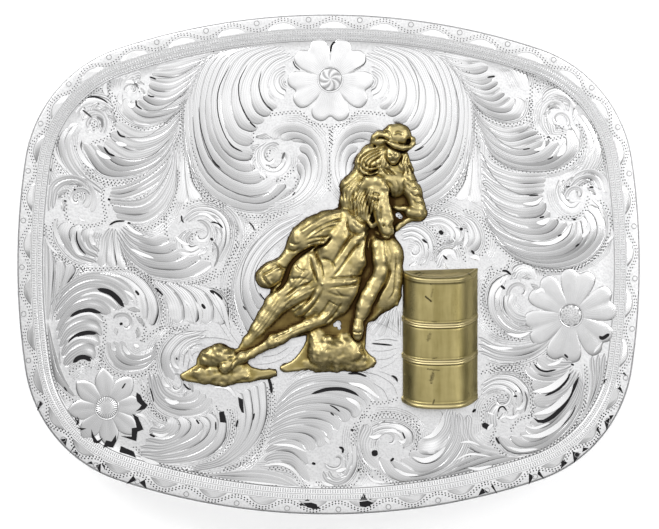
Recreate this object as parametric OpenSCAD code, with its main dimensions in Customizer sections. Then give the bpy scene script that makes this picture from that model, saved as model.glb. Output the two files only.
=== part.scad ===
// Western trophy belt buckle: a curved silver plate with a milled border and raised flowers,
// a cast horse and rider and a cast drum on its face, and a strap loop and a prong on its back.
// It lies on its back, face up. Millimetres; the floor is z = 0 and +Y is the top of the buckle.

/* [Plate] */
// Width of the plate, side to side
plate_w = 102; // [94:1:110]
// Height of the plate, top to bottom
plate_h = 81.4; // [76:0.2:88]
// Thickness of the sheet
plate_t = 1.8; // [1.5:0.1:2.4]
// Radius of the bend that follows the wearer's waist
waist_r = 260; // [220:10:320]
// Radius of the long arcs along the top and bottom edges
long_arc_r = 111; // [100:1:125]
// Radius of the arcs along the two sides
side_arc_r = 114; // [100:1:125]
// Radius of the four corners
corner_r = 22.6; // [20:0.2:24]

/* [Border] */
// Width of the flat band outside the milled line
band_w = 3.3; // [2.5:0.1:4]
// Width of the milled line
milled_w = 1.0; // [0.6:0.1:1.4]
// Height of the milled line above the sheet
milled_h = 0.25; // [0.15:0.05:0.4]
// Height of the flower petals above the sheet
petal_h = 0.3; // [0.2:0.05:0.4]

/* [Drum] */
// Width of the drum
drum_w = 12.8; // [11:0.1:13]
// Length of the drum along its axis, without the bulge of its ends
drum_l = 21.2; // [19:0.1:22]
// Height of the drum above the plate
drum_h = 3.2; // [2.6:0.1:4]
// Lean of the drum's ends and hoops, which shows its lid from above
drum_lean = 24; // [15:1:30]
// Width of each rolled hoop
hoop_w = 0.95; // [0.6:0.05:1.2]
// Height of each rolled hoop above the drum's wall
hoop_h = 0.3; // [0.2:0.05:0.5]

/* [Back] */
// Clear width between the legs of the strap loop
loop_clear_w = 40; // [38:0.5:42]
// Clear height between the plate and the bar of the strap loop
loop_clear_h = 7; // [6:0.2:8]
// Radius of the wire of the strap loop
wire_r = 1.6; // [1.3:0.1:1.9]
// Distance from the middle of the plate to the strap loop
loop_x = 38; // [34:0.5:40]
// Distance from the middle of the plate to the foot of the prong
prong_x = 33; // [30:0.5:36]
// Radius of the prong
prong_r = 1.9; // [1.6:0.1:2.2]
// Lean of the prong away from the middle of the plate
prong_lean = 8; // [4:1:12]
// Radius of the flare at the prong's root
flare_r = 3; // [2.6:0.1:3.2]
// Reach of that flare along the prong
flare_l = 2.8; // [2.6:0.1:3.2]
// Radius of the round feet of the loop and the prong
foot_r = 3.6; // [3:0.1:4]
// Thickness of those feet
foot_t = 1.2; // [1:0.1:1.4]

/* [Hidden] */
$fn = 96;

seat_gap = 0.08;        // clearance under each piece that is seated on the plate
corner_lap = 0.01;      // lets each corner's arc cross the arcs beside it cleanly
ball_sides = 14;        // sides of the balls that the casting is built from
relief = 0.8;           // how far the casting's balls are flattened towards the plate
silver = "Gainsboro";
brass = "DarkKhaki";

// Drop of the bend at a distance x from the middle, for a surface of radius r
function bend_drop(x, r = waist_r) = r - sqrt(r * r - x * x);

// Height of the sheet's top at the middle: everything on the back fits between it and the floor
crown_z = 2 * wire_r + loop_clear_h + bend_drop(loop_x) + plate_t;
// Height of the sheet's top, and of its back, at a distance x from the middle
function face_z(x) = crown_z - bend_drop(x);
function back_z(x) = crown_z - plate_t - bend_drop(x, waist_r - plate_t);

// Middle of a corner's arc, which touches a long arc and a side arc from inside
function corner_middle(w, h, lr, sr, cr) =
    let (top = [0, h / 2 - lr], side = [w / 2 - sr, 0],
         gap = side - top, d = norm(gap),
         along = ((lr - cr) ^ 2 - (sr - cr) ^ 2 + d * d) / (2 * d),
         off = sqrt((lr - cr) ^ 2 - along ^ 2))
    top + along * gap / d + off * [gap.y, -gap.x] / d;

// The plate's outline, or one that lies inset millimetres inside it
module outline(inset = 0) {
    w = plate_w - 2 * inset;
    h = plate_h - 2 * inset;
    lr = long_arc_r - inset;
    sr = side_arc_r - inset;
    cr = corner_r - inset;
    c = corner_middle(w, h, lr, sr, cr);
    from_top = (c - [0, h / 2 - lr]) / norm(c - [0, h / 2 - lr]);
    from_side = (c - [w / 2 - sr, 0]) / norm(c - [w / 2 - sr, 0]);
    high = c + cr * from_top;
    wide = c + cr * from_side;
    intersection() {
        translate([0, h / 2 - lr]) circle(lr);
        translate([0, lr - h / 2]) circle(lr);
        translate([w / 2 - sr, 0]) circle(sr);
        translate([sr - w / 2, 0]) circle(sr);
        union() {
            translate([-high.x, -h]) square([2 * high.x, 2 * h]);
            translate([-w, -wide.y]) square([2 * w, 2 * wide.y]);
            polygon([high, wide, [wide.x, -wide.y], [high.x, -high.y],
                     -high, -wide, [-wide.x, wide.y], [-high.x, high.y]]);
            for (sx = [-1, 1], sy = [-1, 1]) translate([sx * c.x, sy * c.y]) circle(cr + corner_lap);
        }
    }
}

// A round bar across the buckle whose surface lies rise millimetres above the sheet's top
module bend(rise) {
    translate([0, 0, crown_z - waist_r])
        rotate([90, 0, 0]) cylinder(r = waist_r + rise, h = 2 * plate_h, center = true, $fn = 360);
}

// The part of a flat shape's prism that lies between two bends
module bent(low, high) {
    difference() {
        intersection() {
            linear_extrude(2 * crown_z) children();
            bend(high);
        }
        bend(low);
    }
}

// Moves its children to a point of the sheet's face, with their +Z along the face's normal
module on_face(x, y) {
    translate([x, y, face_z(x)]) rotate([0, asin(x / waist_r), 0]) children();
}

// The same on the sheet's back, with +Z away from the plate
module on_back(x, y) {
    translate([x, y, back_z(x)]) rotate([0, 180 + asin(x / waist_r), 0]) children();
}

// A flower: a ring of petals round a button
module flower(petals, petal_r, ring_r, button_r, turn) {
    sunk = plate_t / 2;
    for (k = [0 : petals - 1]) rotate(turn + k * 360 / petals)
        translate([ring_r, 0, -sunk]) cylinder(r = petal_r, h = sunk + petal_h);
    translate([0, 0, -sunk]) cylinder(r = button_r, h = sunk + 2 * petal_h);
}

// Flowers: across, up, petals, petal radius, ring radius, button radius, turn
FLOWERS = [
    [0, 29.8, 5, 2.4, 4.3, 2.0, 270],
    [-35.9, -23.0, 8, 1.7, 3.5, 2.0, 10],
    [39.5, -8.3, 8, 2.0, 4.5, 2.0, 15],
];

module face_plate() {
    color(silver) union() {
        bent(-plate_t, 0) outline();
        bent(-plate_t / 2, milled_h) difference() {
            outline(band_w);
            outline(band_w + milled_w);
        }
        for (f = FLOWERS) on_face(f[0], f[1]) flower(f[2], f[3], f[4], f[5], f[6]);
    }
}

// The casting is built from balls. A row is: across, up, above the plate, radius
BOOT = [[-7.6, -0.3, 1.2, 1.3], [-9.7, -1.8, 1.2, 2.0], [-10.2, -2.4, 1.1, 1.7]];
THIGH = [[2.2, 7.9, 1.2, 1.3], [-1.6, 6.0, 1.3, 2.2], [-4.6, 4.0, 1.4, 2.1], [-6.2, 1.8, 1.1, 1.5],
         [-7.6, 0.0, 1.0, 1.0]];
NECK = [[6.8, 12.6, 1.4, 2.2], [4.8, 8.0, 1.4, 2.4], [2.6, 4.6, 1.3, 3.0], [1.8, 0.6, 1.3, 3.7]];
CHEST = [[1.8, 0.6, 1.2, 3.7], [1.2, -3.4, 1.0, 3.5], [1.6, -6.2, 0.6, 2.6]];
SHOULDER = [[-1.6, 1.2, 0.8, 2.6], [-4.2, -1.8, 1.2, 2.8], [-5.6, -5.2, 0.8, 2.4]];
HEAD = [[6.9, 12.4, 2.0, 2.1], [7.6, 9.0, 2.6, 1.9], [8.9, 6.6, 2.9, 1.35], [9.4, 5.3, 2.7, 1.25]];
FIST = [[4.6, 7.6, 2.2, 1.6], [4.9, 6.3, 2.2, 1.4]];
FAR_BODY = [[9.6, 2.6, 0.2, 1.8], [9.7, -1.8, 0.2, 1.6], [9.2, -4.8, 0.1, 1.9], [7.0, -7.9, 0.0, 1.2]];
UNDERSIDE = [[7.0, 3.4, -0.3, 1.8], [6.6, -0.4, -0.3, 1.9], [5.2, -5.0, -0.3, 1.6]];
FORELEG = [[8.6, 2.4, 1.3, 1.4], [8.5, -1.4, 1.4, 1.2], [6.9, -4.9, 1.4, 1.2], [5.4, -8.0, 1.2, 1.1],
           [4.8, -9.4, 1.2, 1.0]];
FOREHOOF = [[4.7, -9.8, 1.4, 0.8], [4.6, -11.4, 1.4, 0.95]];
HIND_LEG = [[-7.4, -4.2, 0.6, 1.7], [-9.4, -7.6, 0.7, 1.5], [-11.7, -10.8, 0.7, 1.2],
            [-14.0, -13.6, 0.5, 0.6]];
NEAR_LEG = [[0.2, -8.2, 0.5, 1.3], [-4.4, -9.9, 0.9, 0.85], [-7.0, -11.2, 1.0, 0.85],
            [-9.5, -12.4, 1.0, 1.1], [-11.8, -13.8, 1.0, 0.8], [-14.0, -15.2, 1.0, 0.8],
            [-16.6, -16.8, 1.2, 1.1]];
GROIN = [[-8.6, -9.4, -0.3, 1.3], [-6.2, -7.8, 0.0, 1.8], [-3.4, -7.6, 0.2, 1.9], [-0.6, -7.0, 0.4, 1.9]];
RIGHT_SLEEVE = [[6.0, 14.2, 1.0, 1.6], [3.6, 12.0, 0.9, 1.7], [3.4, 9.8, 0.9, 1.4]];
LEFT_SLEEVE = [[12.5, 14.6, 1.0, 1.3], [13.9, 11.4, 1.1, 1.25], [14.9, 8.3, 1.1, 1.2]];
FOREARM = [[14.9, 8.1, 1.1, 1.2], [13.5, 8.2, 1.2, 0.9], [12.2, 7.2, 1.1, 0.55],
           [10.6, 5.9, 1.1, 0.5]];
WRIST = [[13.5, 8.6, 1.0, 0.6], [10.8, 9.0, 0.8, 0.5]];
SHIRT = [[11.4, 13.4, 1.2, 2.0], [8.2, 14.2, 1.4, 1.9]];
SHIRT_TAIL = [[11.4, 13.4, 1.0, 1.8], [10.6, 10.4, 0.6, 1.1], [10.0, 8.2, 0.2, 0.8]];
HAIR = [[8.6, 18.8, 1.2, 1.9], [6.6, 16.8, 1.2, 1.8], [5.6, 15.2, 1.0, 1.6]];
RIGHT_HAIR = [[12.2, 17.4, 0.7, 0.7], [12.9, 15.4, 0.8, 0.9]];
FACE = [[10.7, 18.6, 1.7, 1.2], [10.6, 17.3, 1.8, 1.1]];
HAT_CROWN = [[10.9, 20.3, 1.5, 1.7], [10.6, 21.0, 1.5, 1.5], [11.6, 21.1, 1.5, 1.6]];
HAT_BRIM = [[7.4, 19.6, 1.4, 0.6], [8.2, 20.9, 1.6, 0.65], [9.6, 20.0, 2.3, 0.5],
            [11.6, 18.8, 2.6, 0.5], [13.1, 19.0, 2.3, 0.5], [13.7, 20.2, 1.7, 0.5]];
LEFT_DUST = [[-23.7, -18.0, 0.2, 0.55], [-20.4, -17.6, 0.4, 1.3], [-17.0, -17.7, 0.4, 1.5],
             [-13.4, -17.7, 0.4, 1.1], [-8.8, -17.5, 0.2, 0.6]];
LEFT_CLOUD = [[-20.0, -15.2, 0.4, 1.3], [-18.0, -14.9, 0.6, 1.9], [-15.6, -15.0, 0.4, 1.3]];
LEFT_SPRAY = [[-15.4, -15.8, 0.4, 1.3], [-12.6, -17.0, 0.3, 0.9]];
MIDDLE_DUST = [[-7.4, -16.7, 0.1, 0.55], [-3.6, -16.0, 0.3, 1.0], [1.0, -15.6, 0.4, 1.4],
               [5.0, -15.8, 0.3, 1.2], [7.2, -15.9, 0.1, 0.6]];
MIDDLE_CLOUD = [[-1.4, -12.4, 0.5, 1.7], [-0.6, -14.4, 0.7, 2.2], [3.8, -13.6, 0.5, 2.2],
                [2.0, -12.0, 0.4, 1.6]];

// One ball of the casting, flattened towards the plate
module ball(row) {
    translate([row[0], row[1], face_z(row[0]) + row[2]])
        scale([1, 1, relief]) sphere(r = row[3], $fn = ball_sides);
}

// A run of balls joined one to the next
module limb(rows) {
    for (i = [1 : len(rows) - 1]) hull() {
        ball(rows[i - 1]);
        ball(rows[i]);
    }
}

module horse_and_rider() {
    limbs = [BOOT, THIGH, NECK, CHEST, SHOULDER, HEAD, FIST, FAR_BODY, UNDERSIDE, FORELEG,
             FOREHOOF, HIND_LEG, NEAR_LEG, GROIN, RIGHT_SLEEVE, LEFT_SLEEVE, FOREARM, WRIST, SHIRT,
             SHIRT_TAIL, HAIR, RIGHT_HAIR, FACE, HAT_CROWN, HAT_BRIM, LEFT_DUST, LEFT_CLOUD,
             LEFT_SPRAY, MIDDLE_DUST, MIDDLE_CLOUD];
    color(brass) difference() {
        union() for (rows = limbs) limb(rows);
        bend(seat_gap);
    }
}

// Across position of the drum's axis, and the height of its upper end at the plate
drum_x = 17.85;
drum_top_y = -0.8;
lid_sink = 0.45;        // how far the lid lies below its rim
rim_w = 0.6;            // width of the rim round the lid
hoop_places = [0, 0.34, 0.62];  // where the upper hoops start, as shares of the drum's length

// The drum's wall is part of a round bar that lies mostly below the plate
drum_rise = drum_h + bend_drop(drum_x + drum_w / 2) - bend_drop(drum_x);
drum_r = (drum_w ^ 2 / 4 + drum_rise ^ 2) / (2 * drum_rise);

// A round bar along the drum's axis, grow millimetres thicker than its wall
module drum_bar(grow = 0) {
    translate([drum_x, drum_top_y, face_z(drum_x) + drum_h - drum_r])
        rotate([90, 0, 0]) cylinder(r = drum_r + grow, h = 4 * drum_l, center = true);
}

// A leaning slab across the drum, from one distance down its length to another
module slab(from, to) {
    translate([drum_x, drum_top_y, face_z(drum_x)]) rotate([drum_lean, 0, 0])
        translate([-drum_w, -to * cos(drum_lean), -drum_l])
            cube([2 * drum_w, (to - from) * cos(drum_lean), 2 * drum_l]);
}

module drum() {
    color(brass) difference() {
        intersection() {
            union() {
                intersection() {
                    drum_bar();
                    slab(0, drum_l);
                }
                for (at = [for (share = hoop_places) share * drum_l, drum_l - hoop_w]) intersection() {
                    drum_bar(hoop_h);
                    slab(at, at + hoop_w);
                }
            }
            translate([drum_x, drum_top_y - drum_l / 2, crown_z])
                cube([drum_w, 2 * drum_l, 2 * drum_l], center = true);
        }
        intersection() {
            drum_bar(-rim_w);
            slab(-rim_w, lid_sink);
        }
        bend(seat_gap);
    }
}

// A round foot that lies on the plate's back
module foot(x, y, thickness = foot_t) {
    on_back(x, y) translate([0, 0, seat_gap]) cylinder(r = foot_r, h = thickness);
}

module belt_loop() {
    leg_y = loop_clear_w / 2 + wire_r;
    bar_z = wire_r;
    color(silver) union() {
        for (s = [-1, 1]) {
            foot(loop_x, s * leg_y);
            translate([loop_x, s * leg_y, bar_z])
                cylinder(r = wire_r, h = back_z(loop_x) - seat_gap - foot_t / 2 - bar_z);
            translate([loop_x, s * leg_y, bar_z]) sphere(r = wire_r);
        }
        translate([loop_x, 0, bar_z]) rotate([90, 0, 0]) cylinder(r = wire_r, h = 2 * leg_y, center = true);
    }
}

// The prong's straight stretch runs from its foot to the ball at its tip, which touches the floor
prong_l = (back_z(prong_x) - prong_r) / cos(prong_lean);

// Moves its children to the prong's root, with their +Z along the prong
module along_prong() {
    translate([-prong_x, 0, back_z(prong_x)]) rotate([0, 180 + prong_lean, 0]) children();
}

module hook_prong() {
    color(silver) union() {
        foot(-prong_x, 0);
        along_prong() {
            translate([0, 0, seat_gap + foot_t / 2])
                cylinder(r = prong_r, h = prong_l - seat_gap - foot_t / 2);
            translate([0, 0, prong_l]) sphere(r = prong_r);
        }
        intersection() {
            foot(-prong_x, 0, flare_l);
            along_prong() cylinder(r1 = flare_r, r2 = prong_r, h = flare_l);
        }
    }
}

face_plate();
horse_and_rider();
drum();
belt_loop();
hook_prong();
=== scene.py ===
import math

import bpy
import numpy as np
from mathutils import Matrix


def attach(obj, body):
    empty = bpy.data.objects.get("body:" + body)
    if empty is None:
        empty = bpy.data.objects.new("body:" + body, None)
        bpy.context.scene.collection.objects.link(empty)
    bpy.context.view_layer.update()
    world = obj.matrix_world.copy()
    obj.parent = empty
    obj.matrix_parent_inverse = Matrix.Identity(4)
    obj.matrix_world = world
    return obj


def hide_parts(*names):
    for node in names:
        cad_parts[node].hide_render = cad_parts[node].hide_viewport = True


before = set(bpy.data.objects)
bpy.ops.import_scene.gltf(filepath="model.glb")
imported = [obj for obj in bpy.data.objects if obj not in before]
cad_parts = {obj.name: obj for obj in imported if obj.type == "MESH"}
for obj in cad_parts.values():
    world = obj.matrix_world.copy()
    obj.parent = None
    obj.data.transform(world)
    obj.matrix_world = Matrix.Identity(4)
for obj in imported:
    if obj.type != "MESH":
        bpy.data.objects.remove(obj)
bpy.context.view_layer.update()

# Face plate
# A sheet of nickel silver, pressed to follow the waist, with a bevelled and polished edge.
# The engraver lowers and mats its field, and leaves the band round it at full height.
MM = 0.001                      # the tables of this file are in millimetres
PLATE_W, PLATE_H, PLATE_T = 102.0, 81.4, 1.8
WAIST_R = 260.0                 # bend of the plate
CROWN_Z = 14.792                # its face at the middle, above the floor
LONG_ARC_R, SIDE_ARC_R, CORNER_R = 111.0, 114.0, 22.6
EDGE_INSIDE = 0.01              # how far the polished edge lies inside the outline
EDGE_BEVEL = 0.35
BACK_EASING = 0.45
FIELD_INSET = 4.5               # from the edge to the lowered field
FIELD_DROP = 0.10               # how far the field lies below the band
SILVER = (0.93, 0.93, 0.935, 1.0)
SILVER_PIT_SHADE = (0.72, 0.72, 0.73, 1.0)   # painted shade in the pits of the matted field


def bend_drop(x, radius=WAIST_R):
    return radius - np.sqrt(radius ** 2 - np.square(x))


def on_face(flat):
    """Lays flat points, whose third value is a height over the face, on the bent plate. Gives metres."""
    flat = np.asarray(flat, dtype=float)
    laid = flat.copy()
    laid[:, 2] += CROWN_Z - bend_drop(flat[:, 0])
    return laid * MM


def make_mesh(name, points, faces, material=None, values=None, uv=None, crisp=None):
    """A mesh object from points in metres and faces. values holds numbers for each point by name.
    Edges that turn by more than crisp degrees stay sharp."""
    mesh = bpy.data.meshes.new(name)
    sizes = np.array([len(f) for f in faces])
    corners = np.concatenate([np.asarray(f) for f in faces])
    mesh.vertices.add(len(points))
    mesh.vertices.foreach_set("co", np.asarray(points, dtype=np.float32).ravel())
    mesh.loops.add(len(corners))
    mesh.loops.foreach_set("vertex_index", corners.astype(np.int32))
    mesh.polygons.add(len(sizes))
    mesh.polygons.foreach_set("loop_start", np.concatenate([[0], np.cumsum(sizes)[:-1]]).astype(np.int32))
    mesh.update(calc_edges=True)
    mesh.validate()
    mesh.polygons.foreach_set("use_smooth", np.full(len(mesh.polygons), True))
    if crisp:
        mesh.set_sharp_from_angle(angle=math.radians(crisp))
    for label, numbers in (values or {}).items():
        mesh.attributes.new(label, "FLOAT", "POINT").data.foreach_set("value", numbers.astype(np.float32))
    if uv is not None:
        corner = np.empty(len(mesh.loops), dtype=np.int32)
        mesh.loops.foreach_get("vertex_index", corner)
        mesh.uv_layers.new(name="UVMap").data.foreach_set("uv", uv[corner].astype(np.float32).ravel())
    made = bpy.data.objects.new(name, mesh)
    bpy.context.scene.collection.objects.link(made)
    if material:
        mesh.materials.append(material)
    return made


def finished(piece, slot, *nodes):
    """Attaches a finished piece of the buckle to the root body, and hides the CAD nodes that it stands for.
    """
    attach(piece, "root")
    if nodes:
        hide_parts(*nodes)


def full_turn(count):
    """Even angles round a full turn."""
    return np.arange(count) * 2 * math.pi / count


def rays(angles):
    """Directions at angles, which run counter-clockwise from the right."""
    return np.column_stack([np.cos(angles), np.sin(angles)])


def at_height(places, rise):
    """Flat places with their heights as a third value."""
    return np.column_stack([places, np.broadcast_to(rise, len(places))])


def ring_faces(rings, across):
    """Faces between rings of points, each ring holding across points."""
    base = np.arange(across)
    after = (base + 1) % across
    quads = [np.stack([r * across + base, r * across + after, (r + 1) * across + after,
                       (r + 1) * across + base], axis=1) for r in range(rings - 1)]
    return [tuple(quad) for quad in np.concatenate(quads)]


def tube_faces(rings, across):
    """Faces of a tube of rings. Its ends close on two points, which follow the rings."""
    faces = ring_faces(rings, across)
    first, last = rings * across, (rings - 1) * across
    for i in range(across):
        after = (i + 1) % across
        faces.append((after, i, first))
        faces.append((last + i, last + after, first + 1))
    return faces


def plate_outline(per_arc=60):
    """Points round the plate's edge, counter-clockwise from the right, and the outward directions there."""
    top = np.array([0, PLATE_H / 2 - LONG_ARC_R])
    side = np.array([PLATE_W / 2 - SIDE_ARC_R, 0])
    gap = side - top
    d = np.linalg.norm(gap)
    long_reach, side_reach = LONG_ARC_R - CORNER_R, SIDE_ARC_R - CORNER_R
    along = (long_reach ** 2 - side_reach ** 2 + d * d) / (2 * d)
    off = math.sqrt(long_reach ** 2 - along ** 2)
    corner = top + along * gap / d + off * np.array([gap[1], -gap[0]]) / d
    side_end = math.atan2(*(corner - side)[::-1])
    top_end = math.atan2(*(corner - top)[::-1])
    points, outward = [], []
    for middle, radius, start, end in (
        (side, SIDE_ARC_R, 0, side_end),
        (corner, CORNER_R, side_end, top_end),
        (top, LONG_ARC_R, top_end, math.pi / 2),
    ):
        away = rays(np.linspace(start, end, per_arc, endpoint=False))
        points.append(middle + radius * away)
        outward.append(away)
    quarter, quarter_out = np.concatenate(points), np.concatenate(outward)
    flip = np.array([-1, 1])
    last, last_out = np.array([[0, PLATE_H / 2]]), np.array([[0.0, 1.0]])
    half = np.concatenate([quarter, last, quarter[:0:-1] * flip])
    half_out = np.concatenate([quarter_out, last_out, quarter_out[:0:-1] * flip])
    return np.concatenate([half, -half]), np.concatenate([half_out, -half_out])


def new_material(name, metallic=1.0, roughness=0.3):
    """A material with its node tree and its shader at hand."""
    material = bpy.data.materials.new(name)
    material.use_nodes = True
    shader = material.node_tree.nodes["Principled BSDF"]
    shader.inputs["Metallic"].default_value = metallic
    shader.inputs["Roughness"].default_value = roughness
    return material, material.node_tree, shader


def node(tree, kind, inputs=None, **settings):
    """A shader node. A setting named like one of its inputs goes to that input, as inputs do."""
    made = tree.nodes.new(kind)
    for key, value in settings.items():
        if key in made.inputs:
            made.inputs[key].default_value = value
        else:
            setattr(made, key, value)
    for key, value in (inputs or {}).items():
        made.inputs[key].default_value = value
    return made


def wire(tree, *runs):
    """Links nodes. A run is: node, its output, next node, its input."""
    for source, output, target, entry in runs:
        tree.links.new(source.outputs[output], target.inputs[entry])


def matted_silver():
    """Polished silver grained all over by a matting punch, mottled at random, with painted shade in its
    pits.
    """
    material, tree, shader = new_material("matted_silver", roughness=0.32)
    place = node(tree, "ShaderNodeTexCoord")
    grain = node(tree, "ShaderNodeTexVoronoi", Scale=3000.0)
    cloud = node(tree, "ShaderNodeTexNoise", Scale=420.0, Detail=3.0)
    mottle_and_pit_shade = node(tree, "ShaderNodeMath", {1: 0.5}, operation="MULTIPLY_ADD")
    tone = node(tree, "ShaderNodeMix", {6: SILVER_PIT_SHADE, 7: SILVER}, data_type="RGBA")
    bump = node(tree, "ShaderNodeBump", Strength=0.3, Distance=0.00003)
    wire(tree, (place, "Object", grain, "Vector"), (place, "Object", cloud, "Vector"),
         (cloud, "Fac", mottle_and_pit_shade, 0), (grain, "Distance", mottle_and_pit_shade, 2), (mottle_and_pit_shade, 0, tone, 0),
         (tone, 2, shader, "Base Color"),
         (grain, "Distance", bump, "Height"), (bump, "Normal", shader, "Normal"))
    return material


def face_plate():
    edge, outward = plate_outline()
    edge = edge - EDGE_INSIDE * outward
    back, rim = edge - BACK_EASING * outward, edge - FIELD_INSET * outward
    rings = [at_height(back * share, -PLATE_T) for share in np.linspace(0.02, 0.97, 24)]
    # Rounded edge, from the back to the face: how far in, and the height over the face
    for inset, rise in ((BACK_EASING, -PLATE_T), (0.15, -PLATE_T + 0.12), (0, -PLATE_T + 0.4), (0, -0.45),
                        (0.08, -0.2), (EDGE_BEVEL, 0.0), (0.5, 0.0), (FIELD_INSET - 0.4, 0.0),
                        (FIELD_INSET, -FIELD_DROP)):
        rings.append(at_height(edge - inset * outward, rise))
    rings += [at_height(rim * share, -FIELD_DROP) for share in np.linspace(0.96, 0.02, 44)]
    flat = np.concatenate(rings + [np.array([[0, 0, -PLATE_T], [0, 0, -FIELD_DROP]])])
    return make_mesh("plate_sheet", on_face(flat), tube_faces(len(rings), len(edge)), matted_silver())


finished(face_plate(), "plate_silver", "face_plate")

# Border
# The rim of the plate carries two rows of milled rungs between fine ridges, and outside them a
# double wave of punch marks that loops round a small ring at every turn. Round the lower half
# the engraver also takes out small facets. All of these are painted darker than the plain silver
# as their shade, the facets and the punch marks round the bottom darkest.
RIDGES = [2.5, 3.42, 4.35]      # how far in from the edge
RUNG_ROWS = [2.96, 3.88]
RUNG_L, RUNG_W, RUNG_H = 0.6, 0.2, 0.07
RUNG_PITCH = 0.42
RIDGE_H = 0.035
WAVE_PITCH = 8.2
WAVE_INSET, WAVE_SWING = 1.22, 0.72     # its middle line, and how far it swings to each side
WAVE_ROWS = [0.0, 0.36]         # its two rows of punch marks, and how far apart they run
# How far the hand-set loops of the wave run ahead: share of the way round, loops
WAVE_DRIFT = [(0, -0.27), (0.05, -0.15), (0.2, -0.17), (0.33, 0), (0.47, 0.12), (0.53, 0), (0.58, -0.12),
              (0.64, -0.42), (0.76, -0.3), (0.87, -0.25), (0.95, -0.33), (1, -0.27)]
MARK_PITCH, MARK_PEAK = 0.52, 0.05
# How big the punch marks are, and how dark they are painted, as their shade
MARK_R, MARK_DARK = 0.13, 0.8
LOW_MARK_R, LOW_MARK_DARK = 0.16, 1.25  # bigger there, and painted darker as shade towards the bottom
LOW_Y = -24
RING_R, RING_INSET = 0.42, 0.95
LENS_W, LENS_INSET = 2.5, 1.95  # the swelling inside a loop: half width, and how far in from the edge
FACET_INSET = 0.75
CUT_FOOT = -0.13                # how deep the sides of a cut's solid run down in the plate
# Painted shade: the near black that cuts, grooves, marks and facets are painted by their cut value
PAINTED_CUT_SHADE = (0.035, 0.034, 0.036, 1.0)
SHADE_GREY = (0.52, 0.52, 0.53, 1.0)    # of the fine shade lines
# Facets: middle across and up, how far they turn, length, width
FACETS = [
    (-47.8, -23.3, 72, 1.5, 0.42), (-45.3, -28.0, 40, 0.9, 0.3), (-43.8, -29.5, -50, 1.2, 0.45),
    (-42.0, -30.4, 60, 1.3, 0.55), (-41.6, -31.3, -40, 0.8, 0.2), (-39.2, -33.0, -10, 0.9, 0.25),
    (-37.7, -33.7, -60, 1.2, 0.5), (-36.6, -32.9, -60, 1.0, 0.2), (-32.1, -35.5, 20, 1.5, 0.55),
    (-30.2, -36.1, -40, 1.3, 0.5), (-3.4, -39.0, -12, 2.4, 0.6), (-2.0, -39.5, 5, 1.2, 0.35),
    (5.8, -38.7, -8, 1.8, 0.95), (6.8, -38.5, 8, 1.4, 0.3), (13.2, -37.3, 85, 0.6, 0.2),
    (25.1, -37.1, 20, 1.4, 0.45), (26.9, -36.5, -50, 1.4, 0.5), (32.9, -34.9, 60, 1.3, 0.6),
    (34.5, -34.3, -35, 1.2, 0.6), (38.3, -32.5, 40, 1.1, 0.55), (40.5, -31.5, 55, 1.5, 0.65),
    (42.1, -30.5, 30, 1.0, 0.3), (44.0, -27.1, -70, 1.2, 0.6), (45.8, -26.1, 75, 1.8, 0.4),
    (46.5, -25.1, 60, 0.8, 0.3), (47.7, -20.4, -65, 1.1, 0.35), (48.4, -17.9, -50, 0.8, 0.3),
    (45.1, -19.0, 60, 1.0, 0.22), (46.6, -21.8, 10, 0.7, 0.22),
]


class Pieces:
    """Gathers the points and faces of many small solids into one mesh."""

    def __init__(self):
        self.points, self.faces, self.cut, self.shade, self.uv = [], [], [], [], []
        self.count = 0

    def add(self, points, faces, cut, shade=0.0, uv=None):
        count = len(points)
        self.points.append(points)
        self.faces += [tuple(int(i) + self.count for i in face) for face in faces]
        self.cut.append(np.broadcast_to(cut, count))
        self.shade.append(np.broadcast_to(shade, count))
        self.uv.append(np.asarray(points)[:, :2] if uv is None else uv)
        self.count += count

    def mesh(self, name, material):
        # cut is how dark each point is painted, as the shade of cuts, grooves and marks
        values = {"cut": np.concatenate(self.cut), "shade": np.concatenate(self.shade)}
        return make_mesh(name, on_face(np.concatenate(self.points)), self.faces, material, values,
                         np.concatenate(self.uv), crisp=22)


def bright_cut_silver():
    """Polished silver with fine shade lines in its flutes, and painted shade where it was cut deep."""
    material, tree, shader = new_material("bright_cut_silver", roughness=0.2)
    place = node(tree, "ShaderNodeTexCoord")
    cut = node(tree, "ShaderNodeAttribute", attribute_name="cut")
    shade = node(tree, "ShaderNodeAttribute", attribute_name="shade")
    cloud = node(tree, "ShaderNodeTexNoise", Scale=300.0, Detail=4.0)
    edge = node(tree, "ShaderNodeMath", {1: 0.3}, operation="MULTIPLY_ADD")
    dark = node(tree, "ShaderNodeMapRange", {"From Min": 0.17, "From Max": 1.05})
    tone = node(tree, "ShaderNodeMix", {6: SILVER, 7: PAINTED_CUT_SHADE}, data_type="RGBA")
    rough = node(tree, "ShaderNodeMapRange", {"To Min": 0.17, "To Max": 0.6})
    lines = node(tree, "ShaderNodeTexWave", wave_type="BANDS", bands_direction="Y", Scale=0.72,
                 Distortion=0.8, Detail=0.0)
    mask = node(tree, "ShaderNodeMath", operation="MULTIPLY")
    hair = node(tree, "ShaderNodeMix", {6: SILVER, 7: SHADE_GREY}, data_type="RGBA")
    bump = node(tree, "ShaderNodeBump", Strength=0.3, Distance=0.00002)
    wire(tree, (place, "Object", cloud, "Vector"), (cloud, "Fac", edge, 0), (cut, "Fac", edge, 2),
         (edge, 0, dark, "Value"), (dark, "Result", tone, 0), (tone, 2, shader, "Base Color"),
         (dark, "Result", rough, "Value"), (rough, "Result", shader, "Roughness"),
         (place, "UV", lines, "Vector"), (lines, "Fac", mask, 0), (shade, "Fac", mask, 1),
         (mask, 0, hair, 0), (hair, 2, tone, 6),
         (mask, 0, bump, "Height"), (bump, "Normal", shader, "Normal"))
    return material


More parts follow.
